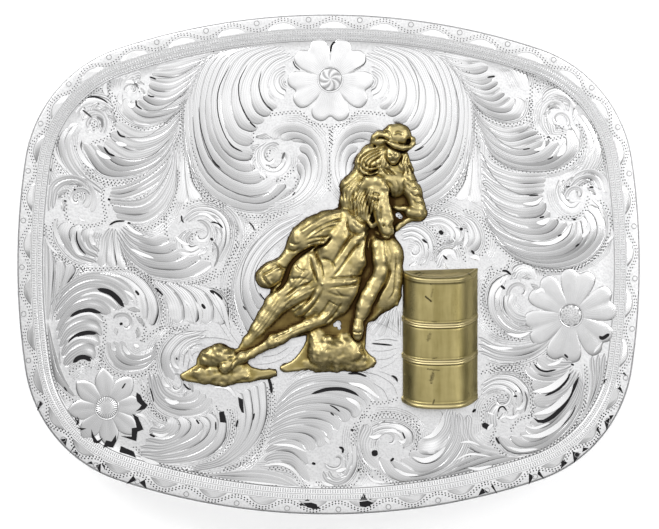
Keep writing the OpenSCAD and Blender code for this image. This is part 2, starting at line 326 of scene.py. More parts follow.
def around_edge(pitch):
    """Even places round the plate's edge: points, outward directions and distances."""
    edge, outward = plate_outline(160)
    edge, outward = np.vstack([edge, edge[:1]]), np.vstack([outward, outward[:1]])
    reach = np.concatenate([[0], np.cumsum(np.hypot(*np.diff(edge, axis=0).T))])
    count = round(reach[-1] / pitch)
    at = np.arange(count) * reach[-1] / count
    there = np.column_stack([np.interp(at, reach, edge[:, i]) for i in (0, 1)])
    out = np.column_stack([np.interp(at, reach, outward[:, i]) for i in (0, 1)])
    return there, out, at


def prism_faces(count):
    """Faces of a prism: the points of its lower outline come first, counter-clockwise."""
    sides = [(i, (i + 1) % count, count + (i + 1) % count, count + i) for i in range(count)]
    return sides + [tuple(range(count))[::-1], tuple(range(count, 2 * count))]


def patch(pieces, outline, rise, cut):
    """A flat patch of any outline, with its sides down in the plate."""
    outline = np.reshape(outline, (-1, 2)).astype(float)
    after = np.roll(outline, -1, axis=0)
    if (outline[:, 0] * after[:, 1] - outline[:, 1] * after[:, 0]).sum() < 0:
        outline = outline[::-1]
    points = np.vstack([at_height(outline, CUT_FOOT), at_height(outline, rise)])
    pieces.add(points, prism_faces(len(outline)), cut)


def hoop(pieces, line, out, section, cut):
    """A rib along a closed line. Its section has four corners from the inside out, each given as
    how far out it lies and its height."""
    count = len(line)
    faces = [(r * count + i, (r + 1) % 4 * count + i, (r + 1) % 4 * count + (i + 1) % count,
              r * count + (i + 1) % count) for r in range(4) for i in range(count)]
    pieces.add(np.concatenate([at_height(line + off * out, rise) for off, rise in section]), faces, cut)


def punch_marks(pieces, spots, radius, rise, cut, sides=6):
    """Small pointed marks at flat spots, painted dark by cut as their shade."""
    ring = radius * rays(full_turn(sides))
    faces = [(i, (i + 1) % sides, sides) for i in range(sides)] + [tuple(range(sides))[::-1]]
    for spot in spots:
        pieces.add(np.vstack([at_height(spot + ring, rise), [(*spot, rise + MARK_PEAK)]]), faces, cut)


def rung(pieces, middle, out):
    """A short milled bar across the border, narrower at its top."""
    side = np.array([-out[1], out[0]])
    points = []
    for share, rise in ((1.0, -0.03), (0.62, RUNG_H - 0.03)):
        for a, b in ((-1, -1), (1, -1), (1, 1), (-1, 1)):
            spot = middle + 0.5 * share * (a * RUNG_L * out + b * RUNG_W * side)
            points.append((*spot, rise))
    pieces.add(np.array(points), prism_faces(4), 0.22)


def lens(pieces, middle, away):
    """The swelling inside a loop of the wave: straight along its inner side, and bowed outwards."""
    across = np.linspace(-1, 1, 15)
    straight = np.column_stack([across, 0 * across - 0.4])
    bowed = np.column_stack([across, 1.15 * (1 - across ** 2) - 0.35])
    ring = np.concatenate([straight, bowed[::-1][1:-1]]) * (LENS_W, 1.0)
    ring = ring[:, :1] * np.array([-away[1], away[0]]) + ring[:, 1:] * away
    points = np.vstack([at_height(middle + share * ring, rise)
                        for share, rise in ((1.0, -0.03), (0.86, 0.035))])
    # The lens's sides are painted dark as shade, its top is left bright
    pieces.add(points, [f[::-1] for f in prism_faces(len(ring))], np.repeat([0.6, 0.0], len(ring)))


def wave_at(at, turns):
    """How many loops of the wave lie behind places at distances along the edge."""
    share = at / (at[-1] + at[1])
    return turns * share - np.interp(share, *np.transpose(WAVE_DRIFT))


def milled_border(material):
    border = Pieces()
    edge, out, _ = around_edge(0.6)
    # The last number given to each piece is its painted shade: ridges, rungs and rings a little dark
    for inset in RIDGES:
        section = ((-0.09, -0.06), (-0.03, RIDGE_H), (0.03, RIDGE_H), (0.09, -0.06))
        hoop(border, edge - inset * out, out, section, 0.3)
    edge, out, _ = around_edge(RUNG_PITCH)
    for inset in RUNG_ROWS:
        for spot, away in zip(edge - inset * out, out):
            rung(border, spot, away)
    edge, out, at = around_edge(MARK_PITCH)
    turns = round((at[-1] + at[1]) / WAVE_PITCH)
    swing = np.cos(2 * math.pi * wave_at(at, turns))
    for shift in WAVE_ROWS:
        inset = WAVE_INSET + shift + WAVE_SWING * swing
        spots = edge - inset[:, None] * out
        low = spots[:, 1] < LOW_Y
        punch_marks(border, spots[~low], MARK_R, -0.01, MARK_DARK)
        punch_marks(border, spots[low], LOW_MARK_R, -0.01, LOW_MARK_DARK)
    circle = rays(full_turn(14))
    edge, out, at = around_edge(0.1)
    wave = wave_at(at, turns)
    for k in range(turns):
        at_ring, at_lens = (np.argmin(np.abs((wave - k - half + turns / 2) % turns - turns / 2))
                            for half in (0.0, 0.5))
        section = ((-0.1, -0.02), (-0.05, 0.03), (0.02, 0.03), (0.07, -0.02))
        hoop(border, edge[at_ring] - RING_INSET * out[at_ring] + RING_R * circle, circle, section, 0.45)
        lens(border, edge[at_lens] - LENS_INSET * out[at_lens], out[at_lens])
    # Facets: flat patches painted dark, as shade
    for across, up, turned, length, width in FACETS:
        way = math.radians(turned)
        spot = np.array([across, up])
        near = np.argmin(np.hypot(*(edge - spot).T))
        short = FACET_INSET - np.dot(edge[near] - spot, out[near])
        spot = spot - max(short, 0) * out[near]
        along = 0.62 * length * np.array([math.cos(way), math.sin(way)])
        base = spot + 0.45 * width * out[near]
        patch(border, [base - along, base + along, spot - 1.7 * width * out[near]], 0.03, 1.3)
    return border.mesh("milled_border", material)


BRIGHT_CUT = bright_cut_silver()
finished(milled_border(BRIGHT_CUT), "plate_silver")

# Flowers
# Three flowers stand up from the field, of the plate's own silver, and are cut round by hand.
# Each has domed petals round a disc with its own engraved pattern.
# A row is: across, up, radius, petals, turn of the first, disc radius, how deep the petals' ends
# are cut in (below zero, how pointed they are), waves round the disc, waves along it, how dull:
# a rougher finish, and a greyer colour that is painted shade
FLOWERS = [
    (0.3, 30.0, 6.95, 5, 126, 2.15, 0.14, 7, 1.2, 0.1),
    (-36.1, -23.3, 6.5, 8, 5, 2.06, -0.3, 30, 0.0, 0.08),
    (39.5, -8.3, 7.7, 6, 19, 2.05, 0.1, 9, 4.0, 0.15),
]
PETAL_RISE = 0.055              # of the middle of a petal, above the plate's face
PETAL_STEPS, DISC_STEPS = 32, 240       # points round one petal, and round a disc
DISC_RISE = 0.16
DISC_GROOVE = (0.84, 0.9)       # the groove round a disc, as shares of its radius
# How dark the edges and sides of the petals are painted, as their shade
PETAL_EDGE_SHADE = 0.7


def round_solid(pieces, middle, rings, top, foot, cuts, shades):
    """A solid from rings of points, which run out from its middle, over its edge and down."""
    flat = np.concatenate(rings + [np.array([[*middle, top], [*middle, foot]])])
    faces = [f[::-1] for f in tube_faces(len(rings), len(rings[0]))]
    away = (flat[:, :2] - middle).T
    uv = np.column_stack([np.hypot(*away), np.arctan2(*away[::-1]) * 5.0])
    pieces.add(flat, faces, np.concatenate(cuts + [np.zeros(2)]), np.concatenate(shades + [np.zeros(2)]), uv)


def flower(pieces, middle, radius, petals, first, disc, notch, waves, twist, dull):
    half = math.pi / petals
    turn = full_turn(petals * PETAL_STEPS)
    off = (turn % (2 * half)) - half
    lean = np.abs(off) / half
    if notch > 0:
        reach = radius * (1 - notch * np.exp(-(off / (0.2 * half)) ** 2) - 0.44 * lean ** 7)
    else:
        reach = radius * (1 + notch * lean ** 1.2 - 0.06 * lean ** 6)
    ray = rays(turn + math.radians(first) - half)
    rings, cuts, shades = [], [], []
    for share in (0.0, 0.12, 0.3, 0.5, 0.68, 0.82, 0.92, 0.97, 1.0, 1.01):
        dist = 0.8 * disc + share * (reach - 0.8 * disc)
        swell = math.sin(math.pi * min(0.25 + 0.62 * share, 0.95))
        dome = PETAL_RISE * swell * (1 - 0.9 * share * lean ** 6)
        rise = dome - 0.02 * share * np.exp(-(off / 0.1) ** 2)
        if share > 0.95:
            rise = 0.03 - (share - 0.95) * 1.6
        if share > 1:
            rise = -FIELD_DROP - 0.1
        rings.append(at_height(middle + dist[:, None] * ray, rise))
        # Painted shade: darker at the petals' edges and sides, and in the notches between them
        cuts.append((PETAL_EDGE_SHADE if share >= 1 else dull) + 0.35 * (lean > 0.96) * (share > 0.6))
        shades.append(np.full_like(turn, max(0.0, 0.4 - 0.7 * share)))
    round_solid(pieces, middle, rings, 0.05, -FIELD_DROP - 0.1, cuts, shades)

    turn = full_turn(DISC_STEPS)
    rings, cuts, shades = [], [], []
    for share in (0.1, 0.25, 0.4, 0.55, 0.7, 0.82, 0.86, 0.92, 0.97, 1.0):
        deep = 0.016 * min(1, 3 * share) if waves < 12 else 0.013 * (share > 0.45)
        grain = deep * np.cos(waves * turn + twist * 6 * share) * (share < DISC_GROOVE[0])
        rise = DISC_RISE - 0.05 * share ** 2 + grain
        in_groove = DISC_GROOVE[0] < share < DISC_GROOVE[1]
        if in_groove:
            rise = rise - 0.04
        if share == 1:
            rise = 0.0
        rings.append(at_height(middle + disc * share * rays(turn), rise))
        # Painted shade in the troughs of the disc's pattern, in its groove and at its edge
        cuts.append(dull + np.clip(-30 * grain, 0, 0.4) + (0.45 if in_groove or share == 1 else 0.0))
        shades.append(np.zeros_like(turn))
    round_solid(pieces, middle, rings, DISC_RISE, 0.0, cuts, shades)


def flowers(material):
    pieces = Pieces()
    for across, up, *shape in FLOWERS:
        flower(pieces, np.array([across, up]), *shape)
    return pieces.mesh("flowers", material)


finished(flowers(BRIGHT_CUT), "plate_silver")

# Engraved scrolls
# Bright-cut leaf scrolls fill the field. The engraver cuts a leaf as a fan of flutes, which run
# together at the root and end in round heads. One wall of each flute is cut steep, and single
# deep cuts lie beside the heads; grooves and cuts are painted dark, as their shade. Rows of punch
# marks outline the leaves.
# A leaf: the line of its first flute from the root to the head, as across and up in turn, then for
# each fan its flutes, how strongly they are cut, where along them most, and the line where it ends
MIRRORED_LEAVES = [
    # Round the top flower, and down round the scroll below it
    [[-7, 32.6, -9, 31.3, -9.6, 29.4, -8.9, 27.6, -7.3, 26.6], (2, 0.16, 0.9), [-7, 31, -7.9, 30, -7.6, 28.8,
     -6.8, 28.3]],
    [[-5.4, 33.4, -8.2, 32.2, -9.6, 30.4, -9.9, 28.4, -9.4, 26.8, -8, 25.8], (1, 0.24, 0.95), [-5.8, 34,
     -8.5, 33.2, -10.3, 31.5, -11.2, 29, -11, 27, -10.2, 25.7, -9, 24.9], (3, 0.2, 0.93), [-8, 35.6, -12.8,
     33.6, -15.3, 29.8, -15.9, 27, -15.6, 24.5, -14.4, 22.2, -12.2, 21.3], (2, 0.26, 0.9), [-9.5, 36, -16,
     34, -18.6, 29.5, -19.2, 26, -18.9, 22.5, -17.3, 18.8, -15, 17, -12.3, 16.7], (3, 0.24, 0.72), [-12,
     36.2, -19, 33.8, -21.6, 29, -22.1, 24, -21.5, 19, -19.6, 14.6, -16.5, 12.2, -13, 10.9, -10, 11.3, -7.8,
     13.5], (2, 0.16, 0.95), [-13, 36.3, -20.5, 33.2, -22.9, 28.6, -23.4, 24, -23, 18.6, -21.4, 14, -18.4,
     10.9, -14, 8.9, -9.5, 9, -5.2, 12]],
    [[-23.9, 22, -24, 17, -24.2, 13, -25, 9.8], (2, 0.14, 0.6), [-23.3, 22, -22.6, 16.5, -21.8, 13, -20,
     10.6]],
    # The scroll below, round its eye
    [[-9.5, 8, -5.5, 9, -2, 11.5, -0.4, 15, -0.7, 19, -3, 22.3, -6.5, 23.1, -9.3, 22, -9.8, 20.4],
     (3, 0.2, 0.85), [-9.8, 9, -6.5, 9.8, -3.4, 11.8, -2, 14.5, -2, 17, -3, 19.2, -4.6, 19.8],
     (3, 0.2, 0.85), [-9.8, 10.2, -7.5, 10.7, -5.4, 12.2, -4.6, 14, -5.2, 15.4]],
    [[-10, 20.2, -12, 18.5, -11.9, 15.9, -9.9, 14.3, -7.5, 14.6, -6.2, 16.5, -6.5, 18.2, -7.7, 18.4],
     (2, 0.18, 0.85), [-10, 19.4, -10.6, 18.2, -10.3, 16.6, -9.2, 15.7, -8, 16, -7.6, 17]],
]
LEAVES = [
    # Below the second fans, left and right
    [[-24.3, 21.4, -26.3, 17.7, -29.5, 14.8, -32.8, 13.1, -35.2, 12.6], (3, 0.32, 0.8), [-25.4, 17.3, -26.9,
     14, -29.9, 11.9, -33.4, 10.7, -35.8, 10.9]],
    [[24.6, 18.9, 26.3, 16.6, 29.2, 15.3, 32.4, 14.9, 35.6, 15], (4, 0.3, 0.8), [24.9, 14.2, 26.4, 12.9,
     28.6, 11.9, 31.4, 11.3, 35, 11.6]],
    # Upper left, from its root beside the border
    [[-17, 35.2, -21, 34.3, -25, 33.7, -27.8, 32.9], (2, 0.36, 0.8), [-19, 33.6, -22.5, 31.6, -25.5, 30.4,
     -28.9, 30.7], (3, 0.3, 0.85), [-20.5, 32, -22.5, 29.4, -25.5, 27.1, -28, 26.9, -29.5, 27.8],
     (2, 0.26, 0.9), [-21.8, 28.5, -24, 25.9, -26.8, 25.1, -29.2, 24.8, -31.4, 26.4], (2, 0.36, 0.6), [-22.6,
     27, -24.6, 24.6, -27.5, 23.1, -31, 22.8, -33.8, 25, -33.3, 27.2]],
    [[-23.6, 25.4, -26.2, 22.8, -29, 21.8, -31.5, 22, -34, 23.4], (3, 0.34, 0.8), [-24.5, 22.5, -26.6, 19.2,
     -29.5, 17.3, -33, 16.9, -36.8, 19.4], (3, 0.28, 0.75), [-24.6, 21, -26.3, 18, -29, 15.5, -33, 14.3,
     -37.3, 15, -40.5, 19.9]],
    [[-36.5, 12.3, -39.5, 14.6, -41.6, 17.5, -42, 20.5, -40.5, 22.9], (2, 0.2, 0.8), [-37, 11.4, -41, 13.9,
     -43.4, 16.8, -44.2, 20, -43.4, 21.9]],
    [[-36.2, 21.3, -35.9, 23.4, -37, 25.2, -38.9, 25.5, -40.2, 24.4], (2, 0.3, 0.7), [-37.4, 21.6, -37, 22.8,
     -37.6, 24, -38.7, 24.2, -39.4, 23.4]],
    [[-35.2, 24.8, -36.4, 26, -38.2, 26.4, -40, 25.9, -41.2, 24.4], (1, 0.2, 0.5), [-34.8, 25.6, -36, 27,
     -38, 27.5, -40, 27.1, -41.8, 25.6]],
    [[-30.4, 31.6, -31.8, 31.4, -33.4, 29.8, -33.6, 27.8], (1, 0.2, 0.5), [-30.6, 29.8, -31.2, 29.6, -31.9,
     28.9, -32, 28]],
    # Upper right
    [[17, 35.2, 21, 34.5, 24.8, 33.8], (1, 0.26, 0.8), [17.5, 34, 20.5, 32.8, 23, 32.5, 25.2, 33],
     (2, 0.24, 0.85), [19.2, 32.6, 22, 30.2, 25, 29.2, 27.3, 30.2], (2, 0.22, 0.85), [20.3, 31.4, 23, 28.4,
     26, 27.3, 28, 28.3], (2, 0.22, 0.9), [21.5, 29.6, 24.2, 26.9, 27.4, 25.6, 29.8, 26.9], (2, 0.22, 0.6),
     [22.4, 27.6, 24.8, 25, 28.3, 23.4, 31.2, 24, 32, 26.3, 30.9, 27.2]],
    [[23, 26.5, 25.5, 23.4, 28.8, 22.1, 32.8, 22.9], (3, 0.26, 0.85), [24, 23.5, 26.5, 20.6, 30, 18.8, 34.9,
     20.4], (2, 0.24, 0.85), [24.4, 22, 27, 18.4, 31, 16.6, 35.4, 16.9, 37.9, 19.7], (2, 0.22, 0.8), [24.5,
     20.6, 27.5, 17, 32, 15.4, 37.2, 15.8, 40.6, 18.6, 40.6, 21.2, 39.2, 22.5]],
    [[38.3, 13.6, 41.3, 15.8, 42.3, 18.6, 41.8, 21.6, 40, 24.3], (2, 0.2, 0.7), [39.3, 13, 43.2, 15.4, 44.7,
     19, 44, 22.4, 42.3, 24.6]],
    [[35.5, 21, 34.5, 23, 34.8, 25.3, 36.3, 26.7, 38, 26.4, 38.8, 25], (2, 0.2, 0.7), [36.6, 21.3, 37.2,
     22.5, 36.3, 23.2, 35.6, 24.3, 36.2, 25.3, 37.2, 25.4]],
    [[35.2, 26.2, 36, 27.3, 37.4, 27.7, 39, 27.1, 39.9, 25.6], (1, 0.22, 0.5), [34.5, 26.6, 35.3, 28.2, 37.3,
     28.9, 39.4, 28.2, 41, 26.4]],
    [[28.2, 32, 29.6, 31.6, 30.6, 29.8, 31.4, 28.2], (1, 0.2, 0.6), [28.6, 33, 31.4, 32.2, 32.6, 30, 32.8,
     28.2]],
    # Left middle
    [[-25.2, 20, -26.2, 16, -28.2, 12.6, -31, 10.6, -35.9, 10.8], (3, 0.32, 0.8), [-24.7, 18, -25, 13, -26.8,
     9, -30, 6.8, -34.2, 7.1]],
    [[-33.4, 6.4, -31.5, 5.1, -29, 4.3, -27, 4.9], (5, 0.24, 0.6), [-34.8, 5, -33, 1.5, -30, -1.3, -26.5,
     -2.2, -22, -2, -18.5, 0]],
    [[-22.5, 6.8, -20.8, 7.8, -19, 7.1, -18, 5.6, -18, 3.5, -19, 1.6], (3, 0.3, 0.75), [-23.9, 7.2, -22, 9.2,
     -18.5, 9.2, -16.2, 7, -16, 3.5, -17.5, 0.2]],
    [[-23.6, 5.6, -24.8, 4, -24.4, 2, -22.4, 1.2, -20.4, 2.2], (2, 0.26, 0.7), [-22.2, 5.4, -23, 4, -22.4, 3,
     -21.4, 3.2]],
    [[-38, -1.4, -34.5, -2, -32, -3.6, -30.9, -6, -30.6, -8.4], (2, 0.62, 0.85), [-31.5, -1.2, -29.5, -2.9,
     -28, -5.4, -27.6, -8, -28.4, -10.2]],
    [[-29, -2.6, -27.2, -4.4, -26, -6.4, -25.6, -9.4], (4, 0.62, 0.85), [-20.5, -3.4, -17.6, -4.6, -16.2, -7,
     -16.4, -9.8]],
    [[-45.5, -6, -42.5, -3, -39, -1.3, -35.5, -1.6, -32.5, -3.2, -31.2, -5.4], (2, 0.5, 0.75), [-44.5, -8.2,
     -41.5, -5, -38, -3.9, -35.3, -4.8, -33.3, -7], (2, 0.4, 0.75), [-44.3, -11.5, -42.5, -8.6, -40, -7.3,
     -38, -7.4, -36.6, -8.4], (2, 0.4, 0.8), [-43.7, -14, -42.2, -12, -40, -11, -38, -11.1, -36.9, -12],
     (2, 0.4, 0.8), [-43, -17, -41.3, -15.8, -40, -15, -38.8, -15.2, -38.4, -16]],
    [[-37.2, 2.6, -38.1, 3.4, -38.4, 4.6, -38, 5.6], (3, 0.3, 0.7), [-37.8, 0, -41.5, 1, -43.9, 3.6, -44.3,
     5.6, -43.2, 7.2]],
    [[-45.2, -10, -44.7, -5, -44.4, -2, -44.4, 0.8], (2, 0.5, 0.7), [-44.9, -8, -43, -4, -41.4, -1.5, -41,
     -0.2]],
    [[-36, 6, -36.9, 4.5, -37.2, 2.4, -37.9, -0.2], (3, 0.4, 0.75), [-34.5, 5.8, -33.9, 3.4, -33.2, 1.2,
     -32.4, -0.8]],
    [[-46, 8.5, -46.3, 11.5, -44.5, 14, -41.5, 14.6, -38.8, 13.2, -37.7, 10.8, -38.2, 8.3], (2, 0.24, 0.6),
     [-44.6, 9.4, -44.2, 11.5, -43, 12.7, -41.3, 13, -39.9, 12.1, -39.6, 10.8, -40.3, 9.7]],
    [[-46.9, 6, -46.4, 1, -46.3, -4, -46.6, -9], (2, 0.2, 0.5), [-45.6, 4, -44.8, 0, -45, -4, -45.6, -9]],
    [[-5.6, 5.6, -9, 2.6, -11.2, -0.6, -11.6, -3.8, -10.3, -5.8], (3, 0.2, 0.9), [-4, 8.6, -9, 6.4, -13.2, 2,
     -15.2, -3, -14.8, -7.6, -12.6, -12]],
    [[-16.2, 9.6, -14.4, 7.4, -13.9, 5.2, -14.4, 3.6], (1, 0.4, 0.7), [-17.4, 9.4, -15.8, 7.6, -15, 5.6, -15,
     3.8]],
    # Right middle
    [[25.2, 14.5, 28, 12, 31, 11.1, 34.8, 11.6], (1, 0.22, 0.9), [24.9, 12.6, 27.6, 10.4, 31, 9.3, 34, 9.6,
     35, 10.8], (2, 0.24, 0.9), [24.8, 11, 27, 8.3, 31, 6.2, 34.5, 5.9, 36.4, 7.7], (2, 0.26, 0.9), [24.9,
     9.2, 27, 6, 31, 3.9, 35, 3.8, 37.8, 4.8, 39.2, 6.6], (3, 0.24, 0.85), [25.6, 7, 28.5, 3, 33, 1.3, 38,
     1.5, 41.3, 3.8, 41.2, 7.2], (3, 0.22, 0.85), [27.5, 3.2, 31, 0.7, 36.5, -0.6, 42, 0.9, 45.2, 4.9, 44.5,
     8.6, 42.6, 10]],
    [[37.2, 14, 36.8, 11.5, 38.2, 8.9, 40.4, 8.6, 41.6, 10.2], (2, 0.3, 0.6), [38.3, 13.6, 38.2, 11.8, 39,
     10.2, 40.2, 10.2]],
    [[38.6, 12.4, 40.2, 14.8, 43, 15.6, 45.2, 14, 45.7, 11.5], (2, 0.26, 0.6), [39.2, 12.4, 41, 13.6, 42.8,
     13.8, 43.8, 12.4]],
    [[12, 3.6, 13.4, 4, 14.6, 3.2, 14.9, 1.6, 14.3, 0], (3, 0.16, 0.7), [11.5, 5.8, 14, 6.3, 16.4, 4.8, 17.1,
     2.2, 16.3, -0.2]],
    [[16.6, 6.2, 18.5, 6.2, 19.8, 5, 19.6, 3.8, 18.5, 3.5], (2, 0.2, 0.8), [14.5, 7.2, 18, 8, 20.8, 6.6,
     21.9, 4.4, 21.5, 3]],
    [[21.4, 7, 22.4, 6.2, 22.9, 4.6, 22.5, 3.2], (2, 0.2, 0.8), [21, 8.2, 23.6, 7, 24.8, 4.6, 24.4, 2.6, 23,
     1.8]],
    [[18.4, -0.5, 18.7, 0.9, 19.4, 1.5, 20, 0.9], (1, 0.16, 0.6), [17.4, -0.5, 17.6, 1.6, 19, 2.7, 20.6, 2.3,
     21.1, 0.5]],
    [[34.5, -9.8, 31.5, -10.3, 28.9, -8.7, 27.6, -6.3, 28.2, -4], (2, 0.26, 0.8), [34, -11.4, 30, -11.4, 27,
     -9.6, 25.8, -6.4, 26.6, -3, 29.5, -1.2]],
    [[33, -8.6, 30.6, -7.8, 29.6, -6.2, 30.2, -4.8], (2, 0.3, 0.8), [34, -9.6, 30.6, -9.4, 28.6, -7.4, 28.4,
     -5]],
    [[30.6, -2.6, 31, -1.5, 32, -1.3, 32.6, -2.4], (1, 0.2, 0.6), [29.8, -2, 30, -0.4, 31.7, 0.2, 33.6, -0.6,
     34.2, -2.4]],
    [[24.4, -11.2, 27, -12.8, 30.5, -13.3, 34, -12.6, 36.4, -11], (3, 0.3, 0.6), [24.4, -14.6, 28, -15.8, 32,
     -15.5, 35, -13.9, 36.8, -12]],
    # Lower right
    [[39.6, -15.6, 38, -15.7, 36.2, -15.5, 34.8, -14.4], (1, 0.34, 0.7), [39.6, -16.2, 37.8, -17, 35.4,
     -17.4, 33.4, -15.9], (2, 0.26, 0.6), [39.8, -17, 38, -18.7, 35.2, -19.1, 32.8, -18.4, 31.7, -16.8]],
    [[39.8, -17, 38, -18.7, 35.2, -19.1, 32.8, -18.4], (1, 0.2, 0.6), [40.1, -17.2, 38.7, -19.6, 36.5, -20.9,
     33.4, -21.2], (2, 0.34, 0.6), [41, -17.6, 40.2, -20.4, 38.5, -23, 36.2, -25.2, 34.6, -25.6, 33.4,
     -24.9], (3, 0.3, 0.7), [41.4, -18.4, 40.6, -22, 38.5, -25.4, 35.2, -28.2, 32.6, -28.9, 30.9, -27.8],
     (2, 0.3, 0.8), [41.9, -19, 41, -23.4, 38.4, -27.4, 34, -30.4, 29.6, -30.6, 27, -28]],
    [[42.4, -15, 42.8, -19, 42, -23, 39.8, -27], (3, 0.3, 0.5), [46.3, -14.5, 45.6, -19, 43.6, -24, 40.6,
     -28]],
    [[24.8, -21.6, 26.2, -20.3, 28.2, -20.3, 29.6, -21.4, 30, -22.8], (3, 0.3, 0.7), [24.8, -19.2, 27.5,
     -17.9, 30.6, -18.2, 32.6, -20.4, 32.4, -23, 31.4, -24.5]],
    [[27.6, -26.2, 27.3, -24.6, 27.8, -23.6, 28.7, -23.6], (1, 0.24, 0.7), [26.4, -26.8, 26, -24.4, 26.9,
     -22.8, 28.6, -22.4, 29.8, -23.5]],
    [[10, -35.8, 16, -34.9, 21, -32.2, 25, -30.6, 29, -31.2, 33, -31.6], (3, 0.26, 0.5), [12, -37, 19, -36.3,
     26, -34.6, 32, -33.2, 37.5, -30.6]],
    [[23.6, -24.6, 23.4, -27.4, 25, -29.2, 27.6, -30], (2, 0.26, 0.6), [20.6, -24, 21.2, -28, 23.8, -30.4,
     28, -31.2]],
    # Along the bottom, from the right
    [[19, -23.4, 18.6, -26, 17.2, -27.6, 15.2, -28], (1, 0.42, 0.75), [19.8, -23.5, 19.8, -27.4, 17.9, -30.5,
     15.5, -30.9, 13.9, -30], (2, 0.28, 0.7), [20.8, -24, 21.2, -28.4, 18.6, -32.4, 14.8, -33.8, 11.3, -32],
     (2, 0.28, 0.7), [22.3, -25, 23, -29.5, 19.6, -34, 14, -35.6, 9.6, -34.2, 7.8, -31]],
    [[7, -28.6, 8.6, -27.4, 10.4, -27.2, 11.6, -28], (2, 0.24, 0.7), [6, -26.8, 8.6, -25.6, 11.6, -25.8,
     13.6, -27.2, 13.6, -29, 12.2, -29.8]],
    [[7.7, -26.8, 6.7, -28.8, 7, -30.8, 8.2, -32], (1, 0.24, 0.6), [5.6, -25.4, 4.9, -28.5, 5.6, -31.6, 7.6,
     -33.8]],
    [[-8.6, -22.5, -5.6, -19, -1.5, -17.7, 3.5, -17.7, 7, -18.7, 8.8, -21.5], (1, 0.3, 0.7), [-8.9, -23.4,
     -5.2, -20.4, -0.5, -19, 4, -19.6, 6.5, -21.4, 6.8, -22.6], (2, 0.3, 0.7), [-9.3, -24.8, -5.5, -22.2, -1,
     -21.3, 3, -22, 5.2, -23, 5.3, -24.4], (2, 0.26, 0.8), [-9.6, -26.2, -6, -24.4, -2, -23.7, 1, -24.3, 2.3,
     -25.8], (2, 0.24, 0.6), [-9.7, -27.6, -6.5, -26.3, -3, -26.3, -0.5, -27.4, -0.4, -29.3], (2, 0.26, 0.7),
     [-10, -29.4, -7.5, -28.5, -5, -28.7, -3.4, -30.4], (2, 0.26, 0.5), [-10.6, -32.4, -8.5, -32, -6, -32.6,
     -4.6, -34.4, -3, -36.2]],
    [[0.6, -33.4, 0.8, -34.2, 1.6, -34.5, 2.6, -33.9, 3.3, -31.8, 3.2, -29.6], (2, 0.26, 0.6), [-1.2, -33.6,
     -0.6, -35.2, 1.2, -35.9, 3.2, -35.1, 4.6, -32.6, 4.6, -29.2]],
    [[-22, -32.6, -18, -31.4, -15.2, -28.4, -14.4, -25, -15.2, -21.2], (4, 0.34, 0.75), [-23, -33.8, -16.5,
     -32.4, -12, -29, -10, -24.5, -10.2, -18.8]],
    [[-28, -33.4, -20, -34, -12, -33.2, -7.5, -34, -4.5, -36], (3, 0.2, 0.5), [-27, -35, -19, -35.6, -13,
     -35.5, -9, -36, -6.5, -36.4]],
    # Lower left, and beside the horse
    [[-27.4, -17.8, -26.5, -20.2, -24.5, -21.4, -22.4, -21.2, -21.6, -20], (3, 0.26, 0.6), [-29.4, -17.6,
     -29, -21, -27.3, -23.6, -24, -24.8, -20.4, -24.2, -18.6, -22]],
    [[-29, -26.2, -27.3, -26.6, -26.3, -26, -26.2, -25], (1, 0.24, 0.7), [-29.3, -27.9, -27, -28.4, -24.9,
     -27.7, -24, -26.2, -24.7, -24.7], (2, 0.26, 0.7), [-31, -30.2, -27.5, -30.2, -24, -29.2, -21.3, -27.8,
     -20.3, -26.2, -21.2, -25], (3, 0.28, 0.7), [-31.5, -31.2, -26, -32.4, -20.5, -31.6, -17, -28.8, -16.6,
     -25, -17.8, -23.4]],
    [[-19.6, -12, -22.6, -13, -24.4, -15, -24.2, -17], (2, 0.2, 0.7), [-20.5, -10.6, -24.6, -11.3, -27.1,
     -14.2, -27, -17.4, -25.4, -19.3]],
    [[-28, -12, -28.4, -13.8, -30.4, -14.8, -32.4, -14.2, -33, -12.4], (3, 0.24, 0.6), [-27.6, -14.8, -30,
     -17, -33.6, -17.2, -35.8, -15.4, -36.4, -12.6]],
    [[-45.6, -9.5, -44.8, -13, -43.8, -16.5, -42.8, -19], (2, 0.3, 0.6), [-46.6, -9.5, -46.2, -14, -45,
     -17.9, -43, -20.4, -40.8, -22]],
    [[9.2, -7.6, 8.2, -9.4, 6.6, -11.4], (4, 0.16, 0.5), [11.2, -7, 11.4, -9, 11.4, -12]],
]
